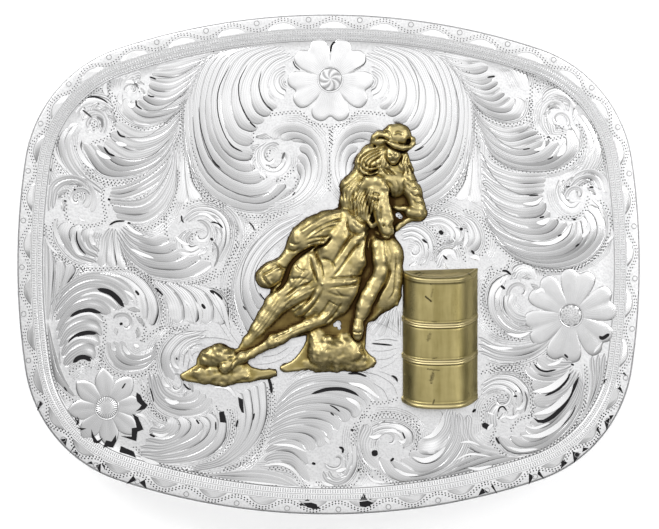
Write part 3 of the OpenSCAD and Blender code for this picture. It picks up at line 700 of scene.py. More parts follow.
# Deep cuts beside the heads, and fine lines along the flutes, painted dark as their shade: half width,
# how dark, their points
CUTS = [
    (0.09, 0.75, [-10.9, 31.4, -11.3, 29, -10.7, 26.8, -9.6, 25.4, -8.9, 24.9]),
    (0.09, 0.75, [-13.2, 32.4, -14.5, 29.6, -14.4, 26.6, -13.4, 24.3, -12.3, 22.7, -11.7, 22.2]),
    (0.09, 0.75, [-16, 32.4, -17.8, 28.6, -18, 25, -17.1, 21.6, -15.7, 19.3, -13.9, 18.3]),
    (0.09, 0.7, [-21.1, 25.6, -20.7, 22, -19.7, 18.8, -18.4, 16.4, -17.4, 15.5]),
    (0.07, 0.6, [-22, 24, -21.6, 20, -20, 15.6, -17, 12.6, -13, 11.1, -9.6, 11.7]),
    (0.07, 0.45, [10.4, 32.2, 11.3, 30.2, 11.4, 28.2, 10.9, 26.3, 9.9, 25.2]),
    (0.08, 0.5, [12.6, 33.6, 14.2, 30.8, 14.7, 28, 14.4, 25.2, 13.2, 22.9]),
    (0.08, 0.55, [16, 31.6, 17.6, 28.4, 18.1, 25.4, 17.5, 22.2, 15.9, 19.8, 13.9, 18.4]),
    (0.08, 0.5, [19.8, 31, 21, 27, 21.1, 23, 20.1, 19, 18.1, 16.1, 16.6, 15.1, 15, 14.7]),
    (0.06, 0.4, [15.4, 10.9, 17.2, 11.6, 19.4, 13.6, 21.4, 17.2]),
    (0.05, 0.5, [-24.4, -15.8, -24, -13.8, -22.4, -12.4, -20, -11.9, -17.4, -12, -15.4, -12.6]),
    (0.05, 0.5, [-23.6, -16.6, -23.3, -14.6, -22, -13.2, -20.6, -12.9]),
    (0.05, 0.45, [-22.9, -17.2, -22.6, -15.6, -21.8, -14.4, -21, -14.1]),
    (0.05, 0.45, [-19.8, -4.9, -18.3, -6.8, -17.2, -8.8, -16, -11, -14.6, -12.9]),
    (0.04, 0.4, [-18, -9.2, -17, -10.8, -16, -12.2]),
    (0.05, 0.45, [-26.7, -10.7, -24.6, -11.4, -22, -11.2, -19.6, -10.6]),
    (0.05, 0.4, [-12, -16.2, -9.4, -16, -7, -15, -5, -13.2]),
    (0.04, 0.4, [-10.8, -15, -8.4, -14.6, -6.4, -13.4]), (0.04, 0.4, [7.6, -9.4, 9.6, -10.1, 11.6, -11.4]),
    (0.04, 0.4, [8.8, -8.2, 10.2, -9.4, 11.7, -11]), (0.04, 0.4, [6.9, -14, 9.2, -14, 11.4, -13.5]),
    (0.04, 0.4, [7.6, -15.5, 9.8, -15.2, 11.3, -14.2]), (0.04, 0.4, [8.3, -16.9, 10.1, -16.1, 11.3, -15]),
    (0.05, 0.5, [7.4, -12.4, 9.2, -12.1, 11.4, -12.4]),
    (0.05, 0.45, [5, -17.4, 7.8, -17.9, 10.3, -19.4, 11.2, -21.2]),
    (0.05, 0.45, [7.2, -19.2, 8.9, -20.4, 9.8, -22.2]), (0.04, 0.4, [8.2, -17.3, 10, -18, 11.4, -19.2]),
    (0.06, 0.6, [-6.4, 5, -9, 3, -11.2, 0.4, -12, -1.8, -11.7, -4, -10.6, -5.9]),
    (0.06, 0.6, [-8.4, 6.4, -11.4, 4, -13.4, 1, -14.2, -2, -14.2, -5, -13.2, -7.8]),
    (0.06, 0.5, [-28.2, 30.2, -25, 30.4, -22.5, 31.6, -20.6, 33.1]),
    (0.06, 0.55, [-30.3, 25.2, -27.6, 25.1, -25.2, 26.4, -22.6, 28.8]),
    (0.06, 0.55, [-33.2, 20.7, -30, 20.7, -27.4, 22.2, -24.6, 25]),
    (0.06, 0.55, [-34.8, 17.6, -31.5, 17, -28.3, 18, -25.8, 20.4]),
    (0.06, 0.5, [-35.4, 10.5, -31.6, 10.3, -28.6, 11.6, -26.6, 14, -25.4, 16.6]),
    (0.06, 0.5, [32.4, 18.8, 30, 18.9, 27.6, 20.3, 25.6, 22.6]),
    (0.06, 0.55, [33.4, 11.2, 30.6, 11.6, 28, 13, 26.2, 15.2, 25, 18]),
    (0.06, 0.5, [34.6, 7.6, 31, 7.6, 28.2, 8.8, 26.4, 10.8, 25, 13.4]),
    (0.06, 0.5, [38, 4.8, 35.6, 3.8, 32.4, 3.9, 29.2, 5.2, 26.8, 7.6]),
    (0.13, 0.9, [-9.9, 25.7, -9.4, 25.2, -9, 24.9]), (0.13, 0.9, [-12.8, 23.1, -12.2, 22.6, -11.8, 22.2]),
    (0.13, 1, [-16.4, 20.2, -15.5, 19.1, -14, 18.3]), (0.14, 1, [-18.9, 17.1, -18.3, 16.3, -17.6, 15.7]),
    (0.16, 0.8, [0.3, 34.4, 0.5, 35.5, 1.2, 36.4]), (0.1, 0.8, [-5.8, 33.1, -5.4, 32.2, -4.6, 31.5]),
    (0.08, 0.7, [6.1, 33.9, 5.8, 32.6, 4, 31.5]), (0.14, 0.9, [16.9, 15.3, 17.6, 15.6, 18.3, 16.1]),
    (0.12, 0.9, [13.9, 18.4, 14.7, 18.7, 15.5, 19.2]), (0.1, 0.8, [-5.9, 11.2, -5.6, 11.5, -5.4, 11.8]),
    (0.2, 0.6, [-7.1, 18.2, -7.3, 17.7, -7.5, 17.1]), (0.12, 0.8, [-13.9, -6.7, -13.4, -7.4]),
    (0.12, 0.9, [-11.2, -4.6, -10.8, -5.2, -10.3, -5.8]), (0.14, 0.7, [-12.9, 6.9, -12.3, 6.2, -12, 5.5]),
    (0.14, 0.8, [-31.3, 26.8, -31.2, 25.9, -30.3, 25.2]), (0.16, 0.9, [-34.4, 21.8, -33.9, 21, -33, 20.7]),
    (0.18, 0.95, [-36.6, 19.2, -35.8, 18.1, -34.7, 17.6]),
    (0.14, 0.8, [-29.1, 30.5, -28.5, 30.3, -28, 30.1]), (0.12, 0.8, [-29.4, 27.6, -28.9, 27.3, -28.3, 27.3]),
    (0.15, 0.8, [-39.3, 27.2, -38, 27.3, -36.6, 26.8, -35.9, 26.2]),
    (0.16, 0.7, [-40.1, 25.2, -39.2, 24.5, -38.5, 23.9]),
    (0.24, 0.5, [-37.8, 24.1, -36.9, 23.4, -36.8, 22.2]), (0.2, 0.6, [-32, 29.5, -31.3, 29.3, -31.1, 28.8]),
    (0.1, 0.8, [-40.2, 20.2, -40.3, 18.7, -39.5, 16.8, -38, 15.5]),
    (0.12, 0.7, [-46, 15.8, -45.7, 15.5, -45.2, 15.2]), (0.14, 0.9, [25.8, 30.4, 26.4, 30.5, 27.1, 30.6]),
    (0.08, 0.5, [30.9, 21.3, 31.8, 21.7, 32.6, 22.5]), (0.11, 0.9, [31.6, 18.7, 32.3, 18.8, 32.8, 18.9]),
    (0.11, 0.9, [35.6, 17.1, 36.2, 17.3, 36.6, 17.6]), (0.12, 0.8, [35.6, 20.8, 36.1, 20.7]),
    (0.2, 0.9, [-35.9, 10.7, -35.5, 10.5]), (0.15, 0.9, [-35.7, 6.4, -34.6, 7, -33.1, 7.1]),
    (0.16, 0.8, [-32.7, 6.8, -32.2, 6.7]), (0.17, 1, [-41.5, 12.3, -41.2, 12.1]),
    (0.15, 0.8, [-43.1, 10.4, -42.7, 10.3]), (0.13, 1, [-41, 5.5, -41, 4, -40.4, 2.6, -39.5, 1.6]),
    (0.44, 1, [-37.6, -4, -35.7, -4.5, -34.4, -5.5, -33.3, -6.9]),
    (0.32, 1, [-42.1, -8.5, -40.5, -7.7, -38.8, -7.5, -37, -7.9]),
    (0.36, 1, [-42.4, -12.7, -40.8, -11.5, -39.2, -11.1, -37.8, -11.3]),
    (0.38, 1, [-41.6, -16, -40.7, -15.2, -39.6, -15.1, -38.7, -15.7]), (0.2, 1, [-31.4, -4.2, -30.8, -5]),
    (0.16, 0.9, [-28.1, -3.8, -26.9, -5]), (0.15, 1, [-23.1, -6.1, -22.8, -6.7]),
    (0.24, 1, [-20.6, -6.4, -20, -7.2]), (0.3, 1, [-19.3, -4.2, -18.2, -4.8, -17.2, -5.7]),
    (0.22, 1, [-34, -9.7, -33.5, -9.6]), (0.15, 1, [-19.1, 6.9, -18, 6.7, -17.1, 5.9]),
    (0.2, 1, [-19.1, 4.3, -18.8, 3.9]), (0.17, 0.5, [-18.7, 3.8, -18, 2.6, -18, 1, -18.6, -0.4]),
    (0.13, 0.8, [-23.9, 8, -23.8, 7.2, -23.5, 6.8]), (0.12, 0.9, [-43.1, -19.9, -42.6, -20.7]),
    (0.14, 0.9, [-42, -25.6, -42.3, -26.4, -41.8, -27]),
    (0.14, 0.9, [-23.6, -19.3, -22.9, -20.1, -22.3, -20.3]),
    (0.11, 0.9, [-29, -20, -28.7, -21, -28.4, -22.4]), (0.15, 1, [-24.7, -15.1, -24.6, -15.5]),
    (0.17, 1, [-29.1, -27.6, -28.2, -28]), (0.15, 1, [-21.5, -25.2, -21, -25.9]),
    (0.13, 0.9, [-18.3, -25.5, -18.3, -26.9]), (0.13, 0.9, [-33.6, -20.2, -33, -19.3]),
    (0.25, 1, [-9.8, -18.3, -9.4, -19.5, -9.2, -20.9]), (0.15, 0.9, [-14.7, -25.2, -15, -26.4]),
    (0.14, 0.8, [-12, -24.1, -12.3, -25.3]),
    (0.3, 1, [-2.8, -21, -0.4, -20.3, 2, -20.2, 3.8, -20.7, 4.9, -21.3]),
    (0.2, 0.9, [3.1, -17.7, 4.8, -17.7, 6.2, -18.2]), (0.18, 0.8, [10.2, -18, 10.9, -18.4, 11.2, -19]),
    (0.13, 0.9, [0.2, -22.8, 1, -23.2, 1.9, -23.9]), (0.13, 0.9, [0.3, -24, 0.9, -24.5]),
    (0.2, 1, [-2.7, -32.2, -2.1, -32.4]), (0.2, 1, [1.7, -29.6, 2.3, -29.9, 2.3, -30.6]),
    (0.16, 1, [4.95, -33.1, 4.85, -33.9]), (0.5, 0.85, [7.4, -30.1, 7.6, -31.1]),
    (0.2, 1, [10.1, -31.9, 10.6, -31.4]), (0.14, 0.8, [7, -12.8, 8.2, -12.9, 10.4, -13.1]),
    (0.18, 0.8, [3.6, -26.8, 4.1, -26.9]), (0.12, 0.8, [12, -27.2, 12.5, -28.4]),
    (0.16, 0.9, [33.4, -16.1, 34.2, -17, 35.4, -17.4, 37.1, -17.1]),
    (0.22, 1, [35.2, -21.4, 37.2, -20.4, 38.6, -19.1, 39.4, -17.6]),
    (0.36, 1, [33.4, -25, 34.6, -25.6, 36.4, -24.8, 38.4, -22.8, 39.9, -20.1, 40.8, -18.3]),
    (0.1, 0.9, [37.9, -26.4, 39.5, -24.6, 40.3, -22.8]), (0.17, 0.9, [38.4, -14.6, 39, -15.2]),
    (0.15, 0.9, [39.5, -16.2, 40, -16.4]), (0.45, 1, [25, -25.9, 26.2, -26.6]),
    (0.2, 1, [23.4, -24, 23.9, -23.5]), (0.15, 0.9, [30.1, -21.4, 30.7, -21.4]),
    (0.12, 0.8, [30.3, -20.6, 30.6, -20.6]), (0.16, 0.8, [27.2, -28, 27.4, -28.5, 27.8, -29.2]),
    (0.14, 0.8, [27.5, -24.1, 27.8, -23.3, 28.4, -23.1, 29, -23.8]),
    (0.13, 0.6, [31.9, -20.6, 32.3, -22, 31.9, -24]), (0.3, 1, [44.1, -11.7, 44.7, -12, 45.8, -11.3]),
    (0.13, 1, [32.6, 11.2, 34.2, 11.3]), (0.16, 1, [34.3, 7.6, 35.1, 7.8]),
    (0.12, 0.8, [37.3, 4.6, 38, 4.9]), (0.32, 1, [18, 5.5, 18.6, 4.9]), (0.24, 1, [21.3, 5.8, 21.8, 5.7]),
    (0.18, 1, [23.2, 2.3, 23.7, 1.7]), (0.16, 0.8, [18.6, 1.5, 19.3, 0.8]),
    (0.18, 0.9, [28.2, -1, 29, -1.1, 29.7, -1.7]), (0.2, 1, [28, -3.4, 28.7, -4]),
    (0.16, 0.9, [42.5, 12.6, 43.2, 12.6]), (0.13, 0.8, [38.7, 12.6, 39.3, 12.7]),
    (0.16, 0.8, [39.8, 7.4, 40.3, 7.3]), (0.17, 0.9, [15.2, 4.1, 16, 3.5]),
    (0.11, 0.8, [40.2, 2.9, 40.8, 3.4]), (0.15, 0.9, [40, -6.6, 40.6, -6.7]),
]
# Patches painted dark as the shade of hollows between petals and at the ends of flutes, and of two
# facets of the border, as outlines
PAINTED_SHADE_PATCHES = [
    [5, -38.5, 5.1, -39.2, 6, -39.4, 6.8, -39, 7.4, -38.7, 6.4, -38.3],
    [-4.1, -38.7, -3.4, -39.4, -2.5, -39.6, -1.7, -39.5, -1.9, -38.9, -2.8, -38.6],
    [-31.2, -20.8, -30.6, -21.2, -30.3, -21.9, -29.4, -22.9, -29.9, -23.5, -31.4, -23.9, -30.8, -23.4, -30.4,
     -22.9, -31.1, -22.3, -31.3, -21.6],
    [-31.9, -24.3, -31, -24.8, -30.6, -25.7, -30.1, -26.8, -31.1, -27.2, -31.3, -28.7, -32.3, -28.4, -33.8,
     -27.9, -32.6, -27.95, -32, -28, -32, -26.6, -31.2, -26.5, -31.4, -25.4],
    [-34.6, -27.7, -34.5, -28.7, -35.1, -29.8, -35.9, -29.6, -36.7, -29.8, -36.4, -29.1, -36.2, -28.6, -35.3,
     -28.8],
    [-33.8, -29.5, -31.7, -30.4, -31.3, -31.4, -32.6, -30.9, -34, -30.5],
    [-38.6, -26.8, -38.2, -27.9, -37.6, -28.7, -36.7, -28.2, -37.4, -29.1, -38.2, -29, -38.6, -27.9],
    [-41, -24.7, -40.6, -25.4, -40.8, -26.1, -41.2, -26.1, -40.8, -25.4],
    [-41.1, -26.5, -39.4, -26.7, -40.2, -27],
    [-17.8, -24, -17, -23.8, -16.6, -25.7, -17.6, -25.6],
    [-14.7, -21.5, -13.9, -21.9, -13.7, -24.1, -14.1, -24, -14.5, -23],
    [44.2, -11.6, 44.6, -11.9, 45.5, -11.4, 45.2, -11.9, 44.7, -12.3],
]
# Bright facets, which lean to the light: half width and their points
GLINTS = [
    (0.6, [33.2, -20.7, 36, -20.2, 38.2, -18.6, 39.2, -17.2]),
    (0.55, [33.3, -24.4, 36.2, -23.6, 38.6, -21.6, 39.8, -19.6]),
    (0.5, [31.4, -27.8, 34.4, -27.8, 37.4, -26.2, 39.6, -23.6]), (0.25, [32, -26.2, 33.6, -26.6, 36, -25.8]),
    (0.3, [35.6, -16.4, 37.2, -16, 38.2, -15.2]), (0.35, [30.6, -23.6, 31.4, -23.2, 31.9, -22.2]),
    (0.3, [28.6, -24.6, 29.8, -24.9, 31, -24.3]), (0.3, [25.8, -27, 26.4, -26.2, 26.8, -26]),
    (0.3, [29, -29.6, 31.2, -30.2, 34, -30]), (0.3, [22.6, -33, 24.4, -33.2, 26.6, -32.8]),
    (0.2, [21.4, -28.9, 23, -28.8, 24.6, -29.4]), (0.2, [20.6, -31.8, 23, -30.8, 26.4, -31.2]),
    (0.3, [25.4, -13, 27.6, -13.6, 30, -13.6]), (0.35, [29, -11.2, 31, -11.6, 32.8, -11]),
    (0.2, [43.2, -14.4, 44, -13.4, 44.6, -12.6]), (0.5, [15.4, -28.2, 17, -27.6, 18.3, -26, 18.7, -24.2]),
    (0.5, [13.6, -31.2, 15.6, -31.8, 17.6, -31, 19, -29.6]), (0.3, [10.6, -33, 12.4, -34, 14.6, -34.2]),
    (0.35, [1.2, -33.6, 2.2, -33.3, 2.9, -33]), (0.35, [-0.6, -28, 0, -28.8, 0.1, -29.2]),
    (0.3, [-1.2, -35, -0.4, -35.6, 0.8, -35.9]), (0.35, [6.6, -27.9, 7.6, -28, 8.6, -27.6]),
    (0.3, [11.4, -28.6, 12.1, -28.8, 12.6, -28.2]), (0.25, [-9, -29.2, -6, -29.4, -3.6, -30.4]),
    (0.3, [-10.6, -32.6, -7.6, -32.4, -5.4, -33.6, -4, -36]),
    (0.4, [3.2, -19.2, 5.6, -19.8, 7.6, -21.2, 8.3, -21.8]), (0.4, [2.8, -21.6, 4.6, -22.6, 5.2, -23.8]),
    (0.25, [3.8, -35.8, 4.6, -34.6, 5, -33.4]), (0.25, [6, -33.6, 7.2, -35, 9.2, -35.4]),
    (0.2, [-14, -35.6, -10.5, -35.7, -8, -35.7]), (0.5, [33.8, 6.8, 35, 6.9, 36, 7.6]),
    (0.5, [33, 3.5, 36, 3.6, 38.4, 4.8, 39.6, 6.6]), (0.45, [41.3, 4.4, 42.2, 5.6, 42.4, 7]),
    (0.3, [43, 10.6, 44.2, 9.6, 44.8, 7.4]), (0.3, [45.2, 3.4, 46.4, 4.8, 46.9, 6.2]),
    (0.5, [37.2, 17.6, 38.2, 18.6, 38.4, 20]), (0.4, [39.4, 22.8, 40.4, 21.8, 40.8, 20.4]),
    (0.35, [33.4, 18.6, 34.8, 19, 35.2, 20.2]), (0.3, [42.2, 17.4, 43.2, 18.8, 43.8, 21.6]),
    (0.35, [31.6, 9.9, 33.6, 10, 34.9, 11]), (0.4, [22.2, 5.4, 22.4, 4.2, 22, 3]),
    (0.4, [23, 1.2, 24, 1.2, 24.6, 0.6]), (0.35, [33.6, -4.6, 34.6, -4.1, 35.2, -4.6]),
    (0.45, [-33.6, 28, -34, 27, -33.6, 26]), (0.45, [-32.6, 26.2, -32, 25.8, -31.4, 26.2]),
    (0.3, [-33, 29.6, -32.2, 29.8, -31.6, 29.4]), (0.4, [-36.2, 29.6, -36.4, 28.6, -36, 27.4]),
    (0.45, [-40.6, 20.2, -40.6, 18.6, -39.6, 16.8, -38, 15.4]),
    (0.45, [-37.8, 18.6, -36.8, 17.8, -35.4, 17.2]), (0.4, [-34.6, 19.9, -33.8, 19.6, -32.8, 19.4]),
    (0.3, [-44.8, 19.4, -44.2, 17.4, -42.6, 15.2]), (0.3, [-42.6, 21.6, -42, 22.6, -40.8, 23]),
    (0.25, [-39.8, 23.8, -39.2, 24.2]), (0.4, [-44.2, 7.6, -44.6, 6.2, -44.2, 4.6, -43, 2.6]),
    (0.4, [-41.6, 5.2, -41.6, 3.6, -40.8, 2, -39.8, 1.4]), (0.4, [-38.8, 4.8, -38.4, 3.6, -37.9, 3.2]),
    (0.25, [-46.2, 4.6, -45.4, 3, -44, 1.6]), (0.3, [-33.2, 6.8, -31.6, 5.4, -30.2, 4.8]),
    (0.3, [-32.2, 2.6, -30.6, 1.8, -28.4, 1]), (0.35, [-24.2, 7.8, -24.4, 6.8]),
    (0.3, [-24.9, 4.6, -23.8, 3.6, -22.6, 3.2]), (0.25, [-21.4, 8, -20, 8.2, -18, 6.8]),
    (0.2, [-40.8, 8.4, -40.4, 7.4, -39.6, 7]), (0.25, [-22.8, 15, -22.4, 13, -21.2, 11.4]),
    (0.22, [-40.4, -5.2, -38, -4.6, -35.6, -5.4, -34.2, -6.8]),
    (0.25, [-43, -9.6, -41, -8.4, -38.6, -8, -36.6, -9.4]),
    (0.25, [-42.9, -13.4, -41, -12, -38.8, -12, -37.4, -12.6]),
    (0.3, [-33.2, -4.2, -31.8, -5.2, -31.2, -6.8]), (0.45, [-35.2, -12.6, -35, -13.6, -34.6, -14]),
    (0.4, [-33.4, -13.2, -32.8, -14.2, -32.2, -14.6]), (0.35, [-31.6, -13, -30.8, -13.4]),
    (0.3, [-34.6, -10.2, -34.6, -11.4]), (0.4, [-27, -18.2, -26.6, -19.4, -25.8, -19.9]),
    (0.4, [-26.6, -21.8, -25.4, -22.4, -24.2, -22.4]), (0.35, [-21.6, -6, -20.8, -7.6, -20.8, -9.6]),
    (0.3, [-23.6, -5.6, -22.4, -7, -21.6, -9.8]), (0.4, [-18.6, -4.6, -17.2, -6.6, -16.4, -9.6, -16, -11]),
    (0.25, [-22.7, -13.4, -22.4, -15, -21.8, -16]), (0.35, [-25.4, -14.6, -25.1, -16.2, -24.2, -17]),
    (0.25, [-18.8, -22.8, -18.2, -24, -18, -25]), (0.35, [-18.6, -19.9, -16.4, -20, -15, -21.6]),
    (0.3, [-31.4, -24.3, -30, -24.7, -29, -26.2]), (0.3, [-28.6, -27.4, -27.2, -27.8, -26, -27.4]),
    (0.3, [-20.2, -25.6, -20, -27, -20.8, -28.6]), (0.4, [-30.6, -31.2, -29, -32.2, -27.6, -33]),
    (0.25, [-30.4, -18.9, -29.6, -20.2, -30, -21.4]),
]
# Rows of punch marks: the points of the line that each follows
DOTTED = [
    [-24, 21.5, -25.6, 17.6, -28, 14.9, -31, 13.4, -35, 13, -38, 13.9, -41, 15.2],
    [-35.7, 30, -35.7, 27, -35.2, 25, -34.7, 23.6, -35.8, 20.8, -38.6, 19.8],
    [-21.4, 30.6, -23.2, 26.6, -23.8, 23, -23.7, 18],
    [-26.6, 8.2, -26.4, 5, -25.6, 2.4, -24, 0.9, -21, 0.2, -19.4, 1.2],
    [-46.8, 6.6, -45.4, 3, -43, 0.6, -41, -0.6, -38.5, -0.8, -35, -0.7, -32, -0.6, -29.8, -1.6, -28, -3],
    [-36.5, 13, -36.8, 11, -36.5, 9, -36.3, 7.4, -38, 6.4, -41.6, 6.4, -42.8, 8, -42.8, 10],
    [25.2, 7.6, 26.6, 4.6, 29.4, 1.5, 33, 0.1, 37, -0.9, 40.5, -0.6, 42.8, 0.8, 44.4, 2.4, 45.6, 4.4],
    [26.6, -0.4, 25.2, -3.4, 25.4, -6.4, 27, -9.4, 30, -11.4, 32.6, -11],
    [24.8, -17.6, 28, -16.8, 31, -16, 33.4, -14.4, 35.4, -12.8],
    [21.4, 30.6, 23.2, 26.6, 23.6, 22, 24.4, 19],
    [33, 29, 32.9, 26, 32.8, 23.8, 33.8, 21.6, 36, 20.4, 38.6, 21],
    [-12.3, 21.6, -12.4, 18.5, -12.2, 15.6, -10.2, 13.9, -7.4, 13.9, -5.6, 15.6],
    [12.3, 21.6, 12.4, 18.5, 12.2, 15.6, 10.2, 13.9, 7.4, 13.9, 5.6, 15.6],
    [-9.4, 24.3, -6, 24.7, -4.2, 24.5, -2.6, 22.8, 0, 22.3, 0.3, 19.5, 0.3, 16, 0.1, 12],
    [9.4, 24.3, 6, 24.7, 4.4, 24.5, 2.8, 22.8, 0.6, 22.2, 0.5, 19.5],
    [-9.8, -20, -9.6, -23.6, -10.6, -27, -11.4, -31, -13.4, -32.2, -17, -33.2],
    [6.8, -23, 5.6, -24.4, 4.6, -26.6, 4.4, -28.6],
    [27.2, -26.8, 26.6, -28.4, 28.4, -31, 33, -31.2, 38, -28.6, 41, -25, 42, -20, 41.9, -16.4],
    [-29.2, -18.6, -29.2, -21.4, -28.2, -24, -26, -25.4],
    [-31.6, -29.6, -28.2, -32.6, -23, -33.8, -17, -34.2],
    [-33, -8, -30.8, -8.6, -29.8, -10.6, -30.4, -12.6, -28.2, -10.8, -26.4, -10.2, -23.4, -10.8],
    [-17.4, 9.8, -15.4, 7.6, -14.6, 4, -16.2, 0.6, -18, -1.8, -23, -3.4, -28, -2.8],
    [-16.2, -4, -16.6, -7, -16.2, -10.2],
    [4.8, -21.8, 6.8, -22.4, 9.2, -22.4, 11.2, -21.8],
    [5.2, -24.6, 7, -24.6, 9, -24, 11, -24.4, 13.4, -25, 14.6, -26.4, 14.2, -29.4],
    [33.2, -19.4, 33, -22.4, 33.2, -24.4, 31, -25.2, 29.6, -27],
    [-37.6, -8, -36.4, -9.4, -36.6, -13, -37.4, -17.4],
    [37.2, 7.4, 38.4, 7.6, 40.4, 7.8, 41.8, 9, 42.4, 11],
]
GROOVE_W = 0.11                 # the steep wall of a flute
DISH = 0.06                     # how deep a flute is hollowed, as a share of its width
GLINT = 1.1                     # how far the bright facets lean
OUTLINES = [0.3, 0.62]          # fine lines outside a leaf
OUTLINE_W, OUTLINE_DARK = 0.05, 0.4     # half width of such a line, and how dark it is painted, as shade
ECHOES, ECHO_PITCH = 4, 0.36    # fainter lines that repeat a leaf's two sides on the ground
ECHO_LAST, ECHO_FIRST = 1.6, 0.3        # how far from the leaf's last line and its first they begin
ECHO_W, ECHO_DARK = 0.04, 0.28
GROUND_RISE = -FIELD_DROP + 0.01
# Curled ends of scrolls: across, up, radius, where they begin, which way they turn
EYES = [
    (-37.4, 23.0, 2.0, 200, -1), (-31.9, 28.3, 1.4, 180, -1), (-40.8, 10.6, 2.1, 20, 1),
    (-20.9, 4.9, 2.3, 100, -1), (-9.2, 17.4, 2.4, 60, 1), (9.2, 17.4, 2.4, 120, -1),
    (-33.2, -9.8, 2.1, 150, -1), (-25.0, -19.6, 1.9, 90, -1), (1.2, -31.6, 2.0, 200, 1),
    (9.8, -28.6, 1.9, 170, -1), (27.9, -21.8, 2.1, 60, -1), (31.2, -4.6, 2.2, 200, -1),
    (37.4, 23.4, 1.9, 330, 1), (40.6, 11.2, 2.0, 200, -1), (13.8, 2.2, 1.7, 90, -1),
    (20.6, 4.6, 1.5, 90, -1),
]
DOT_PITCH, DOT_R, DOT_SPREAD = 0.62, 0.12, 0.16
# Places along a flute, as shares of its length, closer together in its round head
ALONG = np.concatenate([np.linspace(0, 0.86, 17, endpoint=False),
                        0.86 + 0.14 * np.sin(np.linspace(0, math.pi / 2, 10))])
EDGE, EDGE_OUT, _ = around_edge(0.5)


def curve_through(points, samples=24):
    """A smooth line through points, as samples evenly spaced along its own parameter."""
    points = np.reshape(points, (-1, 2)).astype(float)
    if len(points) < 3:
        share = np.linspace(0, 1, samples)[:, None]
        return points[0] * (1 - share) + points[-1] * share
    ends = np.concatenate([[2 * points[0] - points[1]], points, [2 * points[-1] - points[-2]]])
    t = np.linspace(0, len(points) - 1, samples)
    k = np.minimum(t.astype(int), len(points) - 2)
    s = (t - k)[:, None]
    a, b, c, d = ends[k], ends[k + 1], ends[k + 2], ends[k + 3]
    return 0.5 * (2 * b + (c - a) * s + (2 * a - 5 * b + 4 * c - d) * s ** 2
                  + (3 * b - a - 3 * c + d) * s ** 3)


def even_line(points, shares):
    """Places on a smooth line through points, at shares of its length, kept inside the border."""
    line = curve_through(points, 90)
    reach = np.concatenate([[0], np.cumsum(np.hypot(*np.diff(line, axis=0).T))])
    line = np.column_stack([np.interp(shares * reach[-1], reach, line[:, i]) for i in (0, 1)])
    near = np.argmin(np.hypot(*(line[:, None] - EDGE[None]).transpose(2, 0, 1)), axis=1)
    short = FIELD_INSET + 0.15 - ((EDGE[near] - line) * EDGE_OUT[near]).sum(axis=1)
    return line - np.maximum(short, 0)[:, None] * EDGE_OUT[near]


def beside(line):
    """Directions square to a line, at each of its places."""
    ahead = np.gradient(line, axis=0)
    return np.column_stack([-ahead[:, 1], ahead[:, 0]]) / np.hypot(*ahead.T)[:, None]


def swept(pieces, rows, rises, cut, shade=0.0, uv=None):
    """A closed solid from rows of points, one row for each place along it."""
    steps, across = rises.shape
    points = np.dstack([rows, rises]).reshape(-1, 3)
    faces = ring_faces(steps, across)
    last = (steps - 1) * across
    faces += [tuple(range(across))[::-1], tuple(range(last, last + across))]
    top = (rows[:, across // 3] - rows[:, 0])[steps // 2]
    ahead = (rows[steps // 2 + 1] - rows[steps // 2 - 1])[0]
    if top[0] * ahead[1] - top[1] * ahead[0] < 0:
        faces = [f[::-1] for f in faces]
    pieces.add(points, faces, np.ravel(cut), shade, uv)


def flute(pieces, first, last, wall, peak, rise, weight=1.0):
    """One flute between two lines: a nearly level cut with a groove along the last line. Near its
    head a strongly cut one has a bright facet, which leans towards the top of the buckle."""
    middle = 0.5 * (first + last)
    length = np.hypot(*np.diff(middle, axis=0).T).sum()
    head = min(0.5 * np.hypot(*(last[-1] - first[-1])) / length, 0.4)
    t = np.clip((ALONG - 1 + head) / head, 0, 1)
    keep = np.maximum(np.sqrt(1 - t ** 2), 0.03) * np.clip(ALONG / 0.06, 0.3, 1)
    first, last = middle + (first - middle) * keep[:, None], middle + (last - middle) * keep[:, None]
    width = np.hypot(*(last - first).T)
    bulge = np.exp(-((ALONG - peak) / 0.17) ** 2)
    groove = np.clip(GROOVE_W * (0.8 + 1.8 * wall * bulge) / np.maximum(width, 0.05), 0.05, 0.45)
    one = np.ones(len(ALONG))
    across = np.column_stack([0 * one, 0.2 * one, 0.4 * one, 0.6 * one, 0.8 * (1 - groove), 1 - groove,
                              one, one, 0 * one])
    rows = first[:, None, :] + (last - first)[:, None, :] * across[:, :, None]
    dish = np.minimum(DISH * width * (0.55 + 0.45 * weight) * (0.5 + 0.9 * bulge), 0.11)
    rises = rise - np.outer(dish, [-0.5, -0.42, -0.24, 0.0, 0.26, 0.5, -0.1, 0, 0])
    lean = np.clip(wall - 0.28, 0, 0.12) * GLINT
    facet = np.array([0.2, 0.9, 1, 1, 0.9, 0.8, 0, 0, 0])
    rises -= lean * np.outer(bulge * keep, facet) * (rows[:, :, 1] - middle[:, None, 1])
    rises[:, 7:] = -FIELD_DROP - 0.08
    # The groove and the sides are painted dark as shade, darker where the flute is cut strongly
    dark = weight * (0.42 + 0.4 * wall) * np.clip(0.7 + 0.9 * bulge - 0.4 * (ALONG < 0.15), 0, 1.5)
    cut = np.outer(dark, [0, 0, 0, 0, 0, 0.8, 1.2, 1, 1])
    shade = np.repeat(np.clip(1 - 1.3 * ALONG, 0.12, 1), 9)
    uv = np.dstack([np.outer(ALONG * length, np.ones(9)), across * width[:, None]])
    swept(pieces, rows, rises, cut, shade, uv.reshape(-1, 2))


def tapering(points, steps, half_width, blunt, power, offsets):
    """Places along a smooth line, and beside each of them a row of points that closes in towards both
    ends. offsets are the row's points, as shares of the half width."""
    share = np.linspace(0, 1, steps)
    line = even_line(points, share)
    reach = half_width * np.maximum(1 - (2 * share - 1) ** blunt, 0.02) ** power
    side = reach[:, None, None] * beside(line)[:, None, :]
    return line, line[:, None, :] + side * np.array(offsets)[None, :, None]


